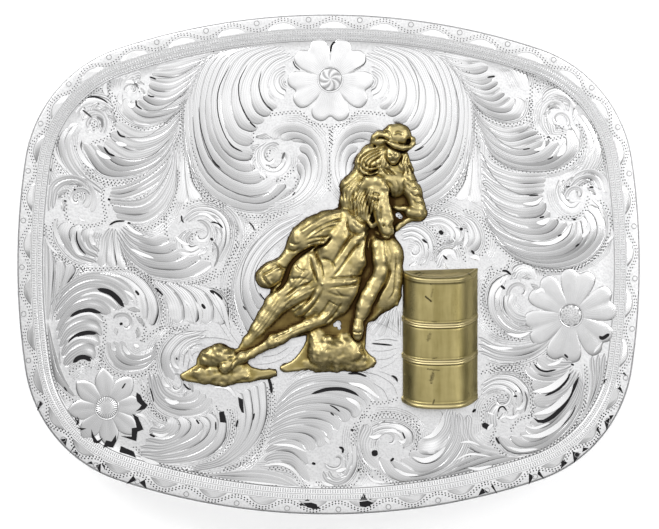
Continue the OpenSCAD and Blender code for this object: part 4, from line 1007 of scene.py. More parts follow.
def deep_cut(pieces, half_width, dark, points, rise=0.05, steps=14):
    """A cut painted dark as its shade, with raised burrs along both of its edges."""
    _, rows = tapering(points, steps, half_width, 4, 0.6, [-1, -0.85, 0, 0.85, 1, 1, -1])
    rises = np.tile(rise + np.array([0, 0.025, 0.014, 0.025, 0, -0.16, -0.16]), (steps, 1))
    swept(pieces, rows, rises, np.tile(dark * np.array([0.8, 1.1, 1.3, 1.1, 0.8, 1, 1]), (steps, 1)))


def glint(pieces, half_width, points, steps=16):
    """A pointed facet that leans towards the top of the buckle, and so shines."""
    line, rows = tapering(points, steps, half_width, 2, 0.7, [-1, -0.9, 0.9, 1, 1, -1])
    rises = 0.085 - 0.075 * (rows[:, :, 1] - line[:, None, 1])
    rises[:, [0, 3]] -= 0.03
    rises[:, 4:] = CUT_FOOT
    # The facet's edges are painted a little dark, as shade
    swept(pieces, rows, rises, np.tile([0.55, 0, 0, 0.55, 0, 0], (steps, 1)))


def dotted_row(pieces, points):
    """Two staggered rows of punch marks along a line."""
    length = np.hypot(*np.diff(np.reshape(points, (-1, 2)), axis=0).T).sum()
    line = even_line(points, np.linspace(0, 1, 2 * round(length / DOT_PITCH)))
    side = beside(line)
    side[::2] *= -1
    punch_marks(pieces, line + DOT_SPREAD * side, DOT_R, -0.04, 0.75, 5)


def scroll_eye(pieces, middle, radius, start, sense):
    """The curled end of a scroll, with small lobes round its outside."""
    ray = rays(math.radians(start) + sense * 4.4 * ALONG)
    reach = radius * (1 - 0.8 * ALONG)[:, None]
    spread = radius * (0.2 - 0.08 * ALONG)[:, None]
    flute(pieces, middle + (reach + spread) * ray, middle + (reach - spread) * ray, 0.2, 0.8, 0.01)
    for k in range(4):
        reach = radius * (1.32 + 0.5 * ALONG - 0.1 * k)[:, None]
        ways = (math.radians(start) + sense * (0.7 + 0.75 * k + off * (1 - 0.3 * ALONG) + 0.4 * ALONG)
                for off in (-0.27, 0.27))
        flute(pieces, *(middle + reach * rays(way) for way in ways), 0.2, 0.8, -0.01, 0.9)


def engraved_scrolls(material):
    leaves, lines_cut = Pieces(), Pieces()
    both = [(leaf, side) for leaf in MIRRORED_LEAVES for side in (1, -1)] + [(leaf, 1) for leaf in LEAVES]
    for order, (leaf, side) in enumerate(both):
        lines = [even_line(points, ALONG) * (side, 1) for points in leaf[::2]]
        rise = -0.025 + 0.04 * order / len(both)
        number = 0
        for (count, wall, peak), start, end in zip(leaf[1::2], lines, lines[1:]):
            for k in range(count):
                first, last = (start + (end - start) * (k + more) / count for more in (0, 1))
                flute(leaves, first, last, wall, peak, rise, (0.5, 1.0)[number % 2])
                number += 1
        away = lines[-1] - lines[-2]
        away = away / np.maximum(np.hypot(*away.T), 0.01)[:, None]
        for off in OUTLINES:
            deep_cut(lines_cut, OUTLINE_W, OUTLINE_DARK, (lines[-1] + off * away)[2:-6:3], -0.03)
        for k in range(ECHOES):
            step = ECHO_PITCH * k
            for line in (lines[-1] + (ECHO_LAST + step) * away, lines[0] - (ECHO_FIRST + step) * away):
                deep_cut(lines_cut, ECHO_W, ECHO_DARK, line[3:-7:3], GROUND_RISE, 9)
        dotted_row(lines_cut, (lines[-1] + (OUTLINES[-1] + 0.45) * away)[2:-4:2])
    for across, up, *curl in EYES:
        scroll_eye(leaves, np.array([across, up]), *curl)
    for cut in CUTS:
        deep_cut(lines_cut, *cut)
    for outline in PAINTED_SHADE_PATCHES:
        # Each is a flat patch a little above the face, painted dark as shade
        patch(lines_cut, outline, 0.09, 1.3)
    for facet in GLINTS:
        glint(lines_cut, *facet)
    for points in DOTTED:
        dotted_row(lines_cut, points)
    return leaves.mesh("engraved_scrolls", material), lines_cut.mesh("engraved_lines", material)


for part in engraved_scrolls(BRIGHT_CUT):
    finished(part, "plate_silver")

# Horse and rider
# One brass casting in relief: a horse turns hard to the right with its rider, over two clouds of
# dust. It is antiqued brown, then buffed bright on its high places, and soldered on by its back.
SEAT_GAP = 0.08                 # clearance between a casting and the plate
CAST_STEP = 0.156               # fineness of the casting's surface
CAST_LOW, CAST_HIGH = (-25.2, -20.6, -0.3), (17.2, 24.2, 4.6)
BRASS_WORN = (0.62, 0.515, 0.255, 1.0)
BRASS = (0.37, 0.295, 0.108, 1.0)
BRASS_DULL = (0.21, 0.148, 0.048, 1.0)
BRASS_BROWN = (0.055, 0.029, 0.009, 1.0)
FACE_X, FACE_Y = 10.45, 17.4    # the middle of the rider's face, which has no casting grain
FACE_SPREAD = 2.2               # how far the smooth skin reaches, as the square of a distance
# The clods of the dust and the casting's grain: height, size and seed
CLODS = [(0.22, 0.5, 3), (0.11, 0.2, 4)]
GRAIN = [(0.05, 0.3, 5), (0.045, 0.16, 6)]

# The casting's outline, clockwise from the top of the hat, as across and up in turn
CAST_OUTLINE = [
    9.1, 21.8, 9.9, 22.6, 10.9, 22.9, 12.0, 22.8, 12.8, 22.2, 12.95, 21.3, 13.8, 20.7, 14.1, 20.0, 13.9,
    19.2, 13.2, 18.6, 12.4, 17.9, 13.0, 17.0, 13.3, 15.9, 13.9, 14.8, 14.3, 13.8, 14.8, 12.5, 15.2, 11.2,
    15.4, 10.2, 15.8, 9.0, 16.0, 8.2, 15.9, 7.6, 15.4, 7.1, 14.7, 6.9, 13.9, 7.0, 13.4, 7.1, 12.8, 6.9, 12.2,
    6.3, 11.5, 5.7, 10.9, 5.2, 10.6, 4.2, 11.2, 3.4, 11.7, 2.3, 11.95, 1.0, 11.95, -0.4, 11.4, -1.2, 11.4,
    -3.0, 11.4, -5.0, 11.4, -6.5, 11.2, -6.8, 10.2, -6.7, 9.4, -7.0, 8.6, -7.7, 7.8, -8.6, 7.0, -9.2, 6.4,
    -9.5, 6.2, -10.5, 6.1, -12.0, 6.0, -13.6, 6.5, -14.4, 7.3, -15.0, 7.8, -15.8, 7.3, -16.4, 6.5, -17.0,
    5.0, -16.9, 3.0, -16.8, 1.0, -17.1, -1.0, -17.1, -3.5, -17.0, -5.0, -17.3, -6.8, -17.5, -7.9, -17.1,
    -7.9, -16.5, -7.0, -16.1, -6.0, -15.6, -5.4, -15.1, -4.7, -14.2, -4.1, -13.3, -3.7, -12.4, -3.6, -11.5,
    -6.0, -12.0, -7.4, -12.7, -8.8, -13.4, -10.3, -14.0, -11.8, -14.6, -12.9, -15.4, -13.1, -16.0, -12.4,
    -16.6, -10.8, -17.0, -9.2, -16.9, -8.4, -17.2, -8.4, -17.9, -9.5, -18.2, -11.2, -18.5, -12.5, -19.1,
    -15.0, -19.3, -18.0, -19.4, -21.0, -19.3, -23.0, -19.0, -24.1, -18.5, -24.1, -17.8, -23.2, -17.3, -22.3,
    -16.7, -21.5, -16.2, -21.4, -15.2, -20.7, -14.3, -19.6, -13.6, -18.2, -12.9, -17.0, -12.8, -16.2, -13.3,
    -15.3, -13.7, -14.6, -13.5, -14.0, -12.5, -13.2, -11.1, -12.2, -9.9, -11.0, -8.5, -10.6, -7.5, -10.2,
    -6.0, -9.6, -4.9, -9.4, -4.0, -10.4, -3.9, -11.4, -3.4, -11.9, -2.5, -11.95, -1.7, -11.4, -0.9, -10.3,
    -0.1, -9.2, 0.7, -8.2, 1.2, -7.2, 1.3, -7.0, 2.2, -6.8, 3.2, -6.0, 4.4, -5.0, 5.6, -3.8, 6.6, -2.2, 7.5,
    -0.8, 8.3, 0.6, 8.9, 1.6, 9.3, 1.5, 9.7, 1.8, 10.2, 1.9, 11.2, 1.8, 12.2, 2.1, 12.9, 2.9, 13.5, 3.4,
    14.4, 3.9, 15.4, 4.3, 16.4, 4.6, 17.4, 5.1, 18.3, 6.0, 19.0, 6.7, 19.8, 7.0, 20.9, 7.7, 21.6, 8.4, 21.8,
]
BACKING_TOP = 0.95              # height of the solid ground that joins the forms

# The forms of the casting. A row is: across, up, above the plate, radius
HAT_BASE = [(8.2, 20.2, 1.1, 1.2), (10.2, 20.2, 1.3, 1.4), (12.4, 19.9, 1.1, 1.2)]
HAT_CROWN = [(10.4, 20.9, 1.5, 1.8), (11.7, 20.9, 1.5, 1.8)]
HAT_RIDGE = [(9.5, 20.9, 1.9, 0.6), (10.3, 21.9, 1.9, 0.75), (11.6, 22.2, 1.8, 0.65), (12.4, 21.6, 1.6, 0.6),
             (12.5, 20.4, 1.6, 0.45)]
HAT_BRIM = [(9.8, 19.8, 2.4, 0.42), (10.8, 19.2, 2.6, 0.45), (12.0, 18.85, 2.6, 0.45),
            (13.0, 19.0, 2.4, 0.45), (13.65, 19.6, 2.1, 0.45), (13.7, 20.3, 1.8, 0.42),
            (13.1, 20.8, 1.6, 0.35)]
HAT_ROLL = [(9.9, 20.3, 2.2, 0.45), (9.1, 20.9, 2.1, 0.5), (8.2, 21.1, 1.9, 0.52), (7.4, 20.6, 1.7, 0.5),
            (7.2, 19.9, 1.5, 0.5)]
HAT_SIDE = [(8.3, 20.0, 1.7, 0.8), (7.8, 19.7, 1.6, 0.65)]
SKULL = [(10.4, 18.3, 1.5, 1.35), (10.45, 17.5, 1.7, 1.25), (10.45, 16.8, 1.6, 0.95)]
HAIR_LEFT = [(8.3, 18.6, 0.9, 1.5), (7.0, 17.7, 1.0, 1.8), (6.2, 16.5, 0.9, 1.9), (5.9, 15.3, 0.8, 1.7)]
HAIR_MIDDLE = [(8.7, 17.8, 1.5, 1.2), (8.6, 16.2, 1.5, 1.3), (9.4, 15.1, 1.2, 1.2)]
HAIR_RIGHT = [(12.1, 17.6, 1.2, 0.9), (12.2, 16.2, 1.2, 1.1), (12.7, 15.1, 1.0, 1.2)]
COLLAR = [(9.8, 15.6, 0.9, 1.1), (11.3, 15.4, 0.9, 1.1)]
SHIRT = [(11.2, 13.4, 0.9, 2.1), (8.8, 13.8, 1.0, 1.9), (10.6, 12.4, 0.8, 1.6)]
LEFT_SLEEVE = [(5.4, 14.2, 0.8, 1.8), (4.0, 12.4, 0.7, 2.1), (3.8, 10.4, 0.7, 1.9), (4.2, 8.8, 0.7, 1.7)]
RIGHT_SLEEVE = [(12.6, 14.0, 0.9, 1.5), (13.6, 12.0, 0.9, 1.4), (14.4, 9.8, 0.9, 1.2),
                (14.9, 8.3, 0.9, 1.15)]
RIGHT_FOREARM = [(14.6, 8.3, 1.3, 0.95), (13.3, 8.5, 1.3, 0.85), (12.4, 9.05, 1.1, 0.42),
                 (10.4, 9.2, 0.9, 0.32)]
REIN = [(14.6, 7.6, 1.0, 0.7), (13.3, 7.35, 1.0, 0.42), (12.0, 6.6, 1.0, 0.42), (11.0, 5.8, 1.0, 0.5)]
HORSE_HEAD = [(7.3, 13.2, 1.5, 1.7), (7.7, 11.2, 1.7, 1.8), (8.3, 9.0, 1.9, 1.6), (9.0, 7.2, 2.1, 1.3)]
FOREHEAD = [(5.5, 12.8, 1.9, 0.8), (6.7, 13.6, 2.1, 0.9), (8.0, 13.4, 2.3, 0.9), (8.9, 12.5, 2.5, 0.7)]
NOSE_BONE = [(8.6, 14.0, 1.9, 0.55), (9.25, 12.2, 2.4, 0.5), (9.55, 10.6, 2.6, 0.45), (9.75, 8.8, 2.7, 0.42),
             (10.1, 7.3, 2.7, 0.45)]
MUZZLE = [(9.1, 6.5, 2.2, 1.2), (9.4, 5.4, 2.1, 1.2)]
MANE = [(5.8, 12.6, 1.0, 2.0), (5.2, 10.4, 1.0, 2.0), (5.4, 8.8, 1.1, 1.7), (6.2, 7.8, 1.1, 1.2)]
HAND = [(4.2, 6.7, 1.4, 1.35), (4.9, 6.0, 1.4, 1.25)]
BRIDLE = [(6.3, 7.3, 1.6, 0.35), (7.0, 6.1, 1.7, 0.35), (7.8, 6.6, 2.1, 0.35)]
BODY_CORE = [(5.2, 8.6, 0.3, 2.6), (3.4, 5.0, 0.4, 3.4), (1.8, 1.0, 0.4, 4.2), (0.4, -3.0, 0.4, 4.4),
             (-1.0, -5.6, 0.3, 3.4)]
NECK_UPPER = [(3.0, 7.2, 1.1, 1.8), (1.6, 4.6, 1.2, 2.1), (0.5, 2.4, 1.1, 2.1), (-0.5, 0.4, 0.9, 1.8)]
NECK_RIDGE = [(5.2, 4.9, 1.5, 0.95), (3.8, 3.5, 1.8, 0.9), (2.5, 1.8, 1.8, 0.9), (1.3, -0.2, 1.6, 0.8),
              (0.3, -1.7, 1.2, 0.65)]
NECK_LOWER = [(5.0, 3.0, 1.1, 1.5), (4.3, 0.8, 1.2, 1.9), (3.2, -1.0, 1.1, 1.8)]
CHEST = [(2.4, -1.0, 0.9, 2.9), (2.2, -3.8, 0.9, 2.9), (1.6, -6.0, 0.6, 2.4)]
SHOULDER = [(-3.0, 0.5, 1.0, 1.9), (-4.1, -1.4, 1.0, 2.2), (-4.6, -3.0, 0.9, 2.2)]
BARREL_LEFT = [(-3.6, -3.9, 0.9, 1.8), (-5.2, -5.0, 0.8, 1.9), (-6.4, -5.9, 0.6, 1.7)]
BARREL_LOW = [(-2.0, -5.8, 0.8, 1.9), (-3.6, -6.9, 0.6, 1.8), (-5.0, -7.4, 0.4, 1.4)]
BELLY = [(0.4, -7.4, 0.5, 1.8), (-1.2, -8.5, 0.6, 1.4)]
HIND_LEG = [(-6.8, -4.6, 0.7, 2.1), (-8.5, -6.5, 0.7, 1.9), (-10.1, -8.6, 0.7, 1.5),
            (-11.5, -10.5, 0.7, 1.15), (-13.0, -12.4, 0.5, 0.9), (-13.9, -13.4, 0.5, 0.7)]
FRONT_LEG = [(-0.4, -8.6, 0.7, 1.3), (-3.2, -9.7, 1.0, 0.95), (-5.6, -10.8, 1.0, 0.85),
             (-7.6, -11.9, 1.0, 0.95), (-9.0, -12.4, 1.2, 1.1), (-10.8, -13.4, 1.1, 0.8),
             (-12.6, -14.5, 1.1, 0.7), (-13.8, -15.0, 1.2, 0.88), (-15.2, -15.8, 1.1, 0.8)]
FRONT_HOOF = [(-15.9, -16.2, 1.2, 0.9), (-16.7, -16.6, 1.2, 1.1)]
FAR_SIDE = [(8.6, 4.4, 0.4, 2.0), (9.5, 1.5, 0.5, 2.3), (9.5, -2.0, 0.4, 2.2), (9.3, -4.8, 0.3, 2.1),
            (7.0, -8.3, 0.2, 1.0)]
FORELEG = [(8.2, 3.2, 0.9, 1.3), (8.4, 0.8, 1.2, 1.2), (8.5, -1.2, 1.2, 1.15), (7.5, -3.4, 1.0, 1.3),
           (6.5, -5.2, 1.1, 1.3), (5.8, -6.9, 1.1, 1.2), (5.2, -8.4, 1.2, 1.0)]
FORE_HOOF = [(4.9, -9.4, 1.2, 0.9), (4.75, -10.6, 1.4, 1.0), (4.65, -11.6, 1.2, 0.9)]
THIGH = [(2.5, 7.6, 1.0, 1.5), (-0.2, 6.6, 1.2, 2.1), (-2.4, 5.4, 1.3, 2.35), (-4.1, 4.2, 1.2, 2.2),
         (-5.1, 3.3, 1.0, 1.8)]
SHIN = [(-5.4, 2.9, 1.0, 1.5), (-6.6, 1.2, 0.9, 1.1), (-7.6, 0.2, 0.9, 1.1)]
BOOT = [(-7.8, -0.4, 0.9, 1.3), (-9.0, -1.3, 1.0, 1.9), (-10.0, -2.0, 0.9, 1.95)]
STIRRUP = [(-7.9, -0.5, 2.0, 0.25), (-10.1, -1.9, 2.1, 0.25), (-9.2, -3.1, 1.9, 0.25)]
TRIANGLE = [(-8.6, -1.6, 1.9, 0.35), (-9.5, -2.2, 1.9, 0.4)]
LEFT_DUST = [(-23.4, -18.2, 0.2, 0.8), (-20.4, -17.9, 0.3, 1.5), (-17.0, -17.9, 0.3, 1.6),
             (-13.4, -17.9, 0.3, 1.3), (-9.0, -17.6, 0.1, 0.7)]
LEFT_CLOUD = [(-19.8, -15.3, 0.4, 1.6), (-18.0, -14.9, 0.6, 2.0), (-16.0, -15.0, 0.4, 1.5)]
LEFT_SPRAY = [(-15.4, -16.6, 0.4, 1.5), (-12.9, -17.3, 0.3, 1.0)]
LEFT_TONGUE = [(-23.4, -18.1, 0.4, 0.6), (-20.6, -17.3, 0.9, 0.7), (-18.2, -17.0, 0.9, 0.7)]
MIDDLE_DUST = [(-7.2, -16.8, 0.1, 0.7), (-3.6, -16.2, 0.3, 1.1), (1.0, -15.8, 0.4, 1.5),
               (5.0, -15.7, 0.3, 1.5), (7.0, -15.8, 0.1, 0.8)]
MIDDLE_CLOUD = [(-1.7, -12.0, 0.4, 1.8), (-0.9, -14.0, 0.6, 2.5), (3.4, -13.8, 0.4, 2.5),
                (2.2, -12.2, 0.3, 1.7)]

# The forms: how softly their balls join, how softly they meet the last forms, how far they are
# flattened towards the plate, and their balls
CAST_FORMS = [
    (1.8, 0.3, 0.45, FAR_SIDE), (1.0, 0.4, 0.45, BODY_CORE), (0.8, 0.5, 0.55, CHEST),
    (0.8, 0.4, 0.6, SHOULDER), (0.6, 0.4, 0.6, BARREL_LEFT), (0.6, 0.4, 0.6, BARREL_LOW),
    (0.6, 0.4, 0.6, BELLY), (0.8, 0.5, 0.6, NECK_LOWER), (0.8, 0.3, 0.65, NECK_UPPER),
    (0.5, 0.3, 0.7, NECK_RIDGE), (0.6, 0.4, 0.6, HIND_LEG), (0.5, 0.15, 0.8, FRONT_LEG),
    (0.3, 0.2, 0.9, FRONT_HOOF), (0.6, 0.2, 0.75, FORELEG), (0.4, 0.15, 0.9, FORE_HOOF),
    (0.8, 0.12, 0.6, THIGH), (0.5, 0.3, 0.7, SHIN), (0.6, 0.15, 0.6, BOOT), (0.1, 0.08, 0.8, STIRRUP),
    (0.3, 0.1, 0.8, TRIANGLE), (0.6, 0.3, 0.6, LEFT_SLEEVE), (0.6, 0.3, 0.65, SHIRT),
    (0.5, 0.2, 0.75, RIGHT_SLEEVE), (0.3, 0.12, 0.8, RIGHT_FOREARM), (0.3, 0.12, 0.8, REIN),
    (0.6, 0.25, 0.65, MANE), (0.6, 0.25, 0.75, HORSE_HEAD), (0.6, 0.3, 0.75, FOREHEAD),
    (0.3, 0.4, 0.8, NOSE_BONE), (0.4, 0.3, 0.8, MUZZLE), (0.5, 0.12, 0.75, HAND), (0.1, 0.1, 0.8, BRIDLE),
    (0.4, 0.3, 0.7, COLLAR), (0.5, 0.25, 0.7, HAIR_LEFT), (0.4, 0.2, 0.7, HAIR_MIDDLE),
    (0.4, 0.2, 0.7, HAIR_RIGHT), (0.4, 0.1, 0.8, SKULL), (0.3, 0.2, 0.6, HAT_BASE),
    (0.4, 0.2, 0.7, HAT_CROWN), (0.3, 0.3, 0.8, HAT_RIDGE), (0.2, 0.1, 0.8, HAT_BRIM),
    (0.2, 0.15, 0.8, HAT_ROLL), (0.3, 0.2, 0.8, HAT_SIDE),
]
DUST_FORMS = [
    (0.6, 0.3, 0.65, LEFT_DUST), (0.6, 0.3, 0.7, LEFT_CLOUD), (0.5, 0.3, 0.7, LEFT_SPRAY),
    (0.4, 0.2, 0.7, LEFT_TONGUE), (0.6, 0.3, 0.65, MIDDLE_DUST), (0.8, 0.3, 0.6, MIDDLE_CLOUD),
]
# Chased lines: half width, depth (a ridge is below zero), and their points, as across and up in turn
CHASING = [
    # Folds under the thigh, round the boot and down the far side, cut deep
    (0.42, 1.1, [-2.2, 3.1, -4.0, 2.0, -5.5, 0.8, -6.3, -0.4, -6.9, -2.1, -7.5, -3.4, -8.6, -4.3]),
    (0.3, 0.7, [0.4, 4.4, -0.5, 3.3, -1.7, 2.8]),
    (0.32, 0.6, [7.0, 5.6, 6.3, 4.0, 6.1, 2.0, 6.5, 0.2, 6.9, -1.2, 6.2, -2.2]),
    (0.2, 0.25, [10.9, 1.8, 11.0, 0.0, 10.8, -2.2, 10.6, -4.4, 9.6, -6.0]),
    (0.2, 0.22, [9.6, 3.4, 10.2, 1.4, 10.2, -0.8]),
    (0.38, 0.8, [9.8, -0.3, 9.9, -1.5, 9.2, -3.3, 8.4, -4.6, 7.8, -5.9, 7.0, -7.3]),
    (0.35, 0.9, [5.3, -3.2, 4.9, -4.6, 4.2, -6.1, 3.7, -7.1, 2.7, -8.3]),
    (0.5, 0.8, [-4.8, -8.9, -7.0, -8.7, -8.6, -9.7, -9.6, -11.0]),
    (0.3, 0.7, [-9.8, -11.6, -11.2, -12.8, -13.2, -13.6]),
    # Muscles of the neck and the chest
    (0.4, 0.35, [4.2, 5.2, 2.9, 3.6, 1.5, 1.4, 0.2, -0.4]),
    (0.35, 0.3, [5.6, 3.4, 4.2, 2.6, 3.0, 0.9, 1.6, -1.0, 0.6, -2.1]),
    (0.3, -0.14, [4.3, 3.3, 2.9, 1.4, 1.7, -0.5, 0.6, -1.8]), (0.35, 0.3, [-1.2, 1.0, 0.4, 0.5, 1.0, -0.6]),
    (0.4, -0.2, [-2.6, -4.0, -4.6, -5.0, -6.6, -6.2]), (0.3, 0.3, [-3.0, -3.0, -5.0, -3.8, -7.0, -5.2]),
    (0.3, 0.3, [-2.4, -5.2, -4.4, -6.2, -6.4, -7.4]), (0.3, -0.2, [1.4, -6.0, 0.2, -7.8, -1.2, -9.2]),
    (0.25, 0.3, [2.2, -6.2, 1.0, -8.0, -0.4, -9.4]), (0.25, 0.25, [0.4, -5.6, -0.8, -7.4, -2.0, -8.6]),
    (0.3, 0.2, [-0.2, -4.4, 1.4, -5.0, 3.4, -5.2]), (0.3, 0.22, [-6.2, -2.4, -4.6, -2.2, -3.0, -2.6]),
    (0.25, 0.2, [-5.4, 0.0, -4.6, -0.9, -3.4, -1.0]),
    # Breast collar and its straps, each a ridge between two cut edges
    (0.52, -0.32, [-2.6, 2.2, -2.2, 0.4, -1.7, -1.2, -1.4, -2.8]),
    (0.52, -0.32, [-0.4, -3.1, 1.2, -2.9, 3.2, -2.8, 5.4, -2.4]),
    (0.46, -0.3, [-1.5, -3.8, -2.2, -5.2, -3.4, -6.8, -5.2, -8.4]),
    (0.2, 0.35, [-3.1, 1.4, -2.7, -0.2, -2.2, -1.8, -1.9, -2.9]),
    (0.2, 0.35, [-2.0, 1.6, -1.3, 0.1, -0.9, -1.3, -0.8, -2.4]),
    (0.2, 0.35, [0.0, -2.3, 1.6, -2.1, 3.6, -2.0, 5.6, -1.8]),
    (0.2, 0.35, [0.0, -3.8, 1.6, -3.6, 3.6, -3.4, 5.2, -3.1]),
    (0.2, 0.35, [-0.9, -4.0, -1.6, -5.4, -2.8, -7.1, -4.6, -8.8]),
    (0.2, 0.35, [-2.1, -3.8, -2.9, -5.2, -4.1, -6.6, -5.8, -7.9]), (0.34, -0.4, [-1.0, -3.1, -0.9, -3.3]),
    # Trouser leg, its bright upper edge and its creases
    (0.5, -0.25, [2.8, 8.7, 0.2, 7.9, -2.6, 6.4, -4.7, 4.9]),
    (0.35, 0.3, [2.4, 7.4, 0.0, 6.7, -2.4, 5.4, -3.8, 4.3]), (0.25, 0.28, [1.2, 6.3, -0.6, 5.8, -2.4, 4.6]),
    (0.22, 0.25, [-3.8, 3.8, -2.4, 4.3, -0.8, 4.4, 0.4, 4.8]),
    (0.2, 0.25, [-3.6, 3.1, -2.2, 3.6, -0.8, 3.9]), (0.3, 0.25, [-6.6, 2.4, -5.6, 2.1, -4.8, 2.6]),
    (0.2, 0.2, [-6.4, 3.6, -5.4, 3.2, -4.4, 3.6]), (0.3, 0.35, [-8.3, 0.1, -7.5, -0.5, -6.7, -0.6]),
    (0.25, 0.3, [-8.3, -0.1, -9.4, -1.0, -10.6, -1.6, -10.5, -2.4, -9.6, -3.4]),
    (0.3, -0.15, [-7.6, 0.9, -9.4, 0.2, -11.0, -1.2, -11.5, -2.4]),
    # Muzzle, nostrils, mouth and eye of the horse
    (0.3, 0.55, [8.85, 6.4, 8.95, 6.2]), (0.3, 0.7, [9.95, 6.25, 10.05, 6.15]),
    (0.2, 0.25, [8.1, 5.3, 8.8, 4.75, 9.8, 4.6, 10.4, 4.8]),
    (0.4, 0.7, [6.2, 5.3, 7.0, 5.4, 7.7, 4.7, 8.6, 4.3]), (0.22, 0.3, [7.0, 10.6, 7.6, 10.2, 8.2, 10.5]),
    (0.22, -0.2, [7.4, 10.9, 7.9, 10.8]), (0.22, 0.25, [7.0, 11.3, 7.7, 11.5, 8.3, 11.1]),
    (0.3, 0.45, [7.4, 9.0, 7.2, 8.0, 6.8, 7.2]), (0.25, 0.3, [8.4, 9.6, 8.5, 8.4, 8.3, 7.2]),
    (0.3, 0.9, [9.95, 11.4, 10.0, 10.4, 10.1, 9.7]),
    (0.22, 0.4, [3.1, 7.6, 3.1, 6.3, 3.6, 5.3, 4.6, 4.9, 5.6, 5.1]),
    (0.18, 0.25, [4.4, 7.6, 5.0, 7.0, 5.8, 6.6]), (0.18, 0.2, [3.9, 7.0, 4.4, 6.3, 5.2, 5.8]),
    # Hoof and the rim round it
    (0.2, 0.4, [3.9, -9.0, 3.75, -10.4, 3.9, -11.8, 4.7, -12.5, 5.5, -11.9, 5.8, -10.4, 5.7, -9.0]),
    (0.18, 0.25, [4.0, -10.9, 4.7, -11.1, 5.5, -10.9]),
    (0.2, 0.25, [-14.9, -15.2, -15.5, -15.9, -15.7, -16.7]),
    (0.2, 0.2, [-12.9, -13.9, -13.3, -14.6, -13.4, -15.3]),
    # Hat: the shade below the brim, the pockets beside the crown and its crease
    (0.22, 0.45, [9.2, 19.6, 10.0, 18.95, 11.0, 18.45, 12.4, 18.1]), (0.42, 1.2, [12.95, 20.3, 12.8, 19.5]),
    (0.3, 0.6, [7.35, 19.3, 7.6, 19.0]), (0.2, 0.4, [7.7, 20.2, 8.5, 20.6, 9.3, 20.3, 10.0, 19.9]),
    (0.4, 0.35, [10.6, 21.0, 11.3, 21.4, 12.0, 21.0]),
    (0.2, 0.3, [9.0, 21.4, 9.6, 21.5, 10.1, 20.8, 10.2, 20.2]),
    # Face: brow, eyes, nose, mouth and chin
    (0.26, 0.26, [9.75, 17.72, 10.1, 17.7]), (0.26, 0.26, [10.8, 17.7, 11.15, 17.72]),
    (0.24, -0.26, [10.45, 17.9, 10.45, 17.2]), (0.18, 0.22, [10.05, 16.8, 10.45, 16.74, 10.85, 16.8]),
    (0.24, -0.08, [10.45, 16.4, 10.46, 16.38]),
    (0.2, 0.22, [9.15, 18.4, 9.2, 17.4, 9.7, 16.5, 10.5, 16.05, 11.3, 16.5, 11.75, 17.4]),
]
# Bundles of strands: half width, depth, how many, the first strand and the last
STRANDS = [
    # Hair beside the face and over both shoulders
    (0.2, 0.42, 4, [8.6, 19.0, 6.6, 18.2, 5.2, 17.2, 4.9, 15.6], [8.8, 17.8, 7.6, 17.0, 6.8, 16.2, 6.6,
     15.0]),
    (0.2, 0.42, 3, [4.7, 15.4, 5.4, 14.6, 6.8, 14.3, 8.2, 14.8], [5.6, 16.6, 6.4, 15.8, 7.6, 15.9, 8.6,
     16.4]),
    (0.18, 0.4, 3, [8.6, 17.2, 8.4, 16.0, 9.0, 15.2, 9.9, 14.4], [9.3, 16.4, 9.4, 15.6, 10.2, 15.0, 11.0,
     14.5]),
    (0.18, 0.36, 3, [12.2, 17.9, 11.7, 16.6, 12.2, 15.4, 12.0, 14.4], [12.8, 17.2, 12.9, 16.2, 13.4, 15.4,
     13.7, 14.6]),
    # Sleeves
    (0.18, 0.26, 5, [5.0, 14.6, 3.2, 13.0, 2.2, 12.2, 2.4, 10.2], [5.6, 13.8, 4.7, 12.0, 4.4, 10.0, 4.6,
     8.2]),
    (0.18, 0.26, 4, [12.2, 14.4, 13.2, 13.4, 14.2, 13.6, 14.6, 13.0], [13.6, 10.6, 14.2, 9.9, 14.9, 10.0,
     15.5, 9.6]),
    # Mane
    (0.18, 0.34, 8, [5.4, 12.2, 4.4, 10.6, 4.0, 9.2, 4.2, 7.8], [8.3, 12.0, 8.0, 10.4, 7.7, 8.9, 7.4, 7.4]),
    (0.16, 0.24, 3, [4.0, 11.8, 3.4, 10.6, 3.2, 9.4, 3.5, 8.2], [4.9, 12.4, 4.0, 10.9, 3.7, 9.5, 3.9, 8.0]),
    # Shirt front
    (0.2, 0.2, 3, [9.4, 13.6, 10.2, 13.0, 10.6, 12.0, 10.5, 11.0], [12.4, 13.8, 12.2, 13.0, 12.3, 12.4, 12.1,
     11.6]),
    # Creases along the near flank and the belly, and the far shoulder
    (0.16, 0.2, 4, [-3.4, -0.2, -4.4, -1.6, -5.8, -3.4, -7.2, -4.6], [-1.8, -3.4, -3.6, -4.4, -5.6, -5.6,
     -7.2, -7.0]),
    (0.16, 0.2, 4, [3.6, -0.8, 3.9, -2.2], [-0.2, -5.8, 1.6, -6.8]),
    # Hair on the hind leg and the front leg
    (0.16, 0.16, 3, [-8.2, -5.2, -9.8, -7.6, -11.4, -9.8, -13.0, -11.8], [-7.6, -6.2, -9.0, -8.2, -10.6,
     -10.4, -12.6, -12.4]),
    (0.14, 0.14, 2, [-2.4, -9.2, -4.6, -9.9, -6.8, -10.9, -9.6, -12.0], [-2.4, -9.7, -4.6, -10.4, -6.8,
     -11.5, -9.6, -12.7]),
]
# Holes right through the casting: across, up, radius
CAST_HOLES = [
    (11.3, 8.05, 0.42), (11.65, 7.75, 0.36), (1.55, -9.6, 0.5), (1.1, -9.8, 0.35), (1.75, -10.3, 0.3),
]


def smooth_least(a, b, blend):
    """The lesser of two distances, run together where they are about the same."""
    near = np.maximum(blend - np.abs(a - b), 0) / blend
    return np.minimum(a, b) - near ** 2 * blend / 4


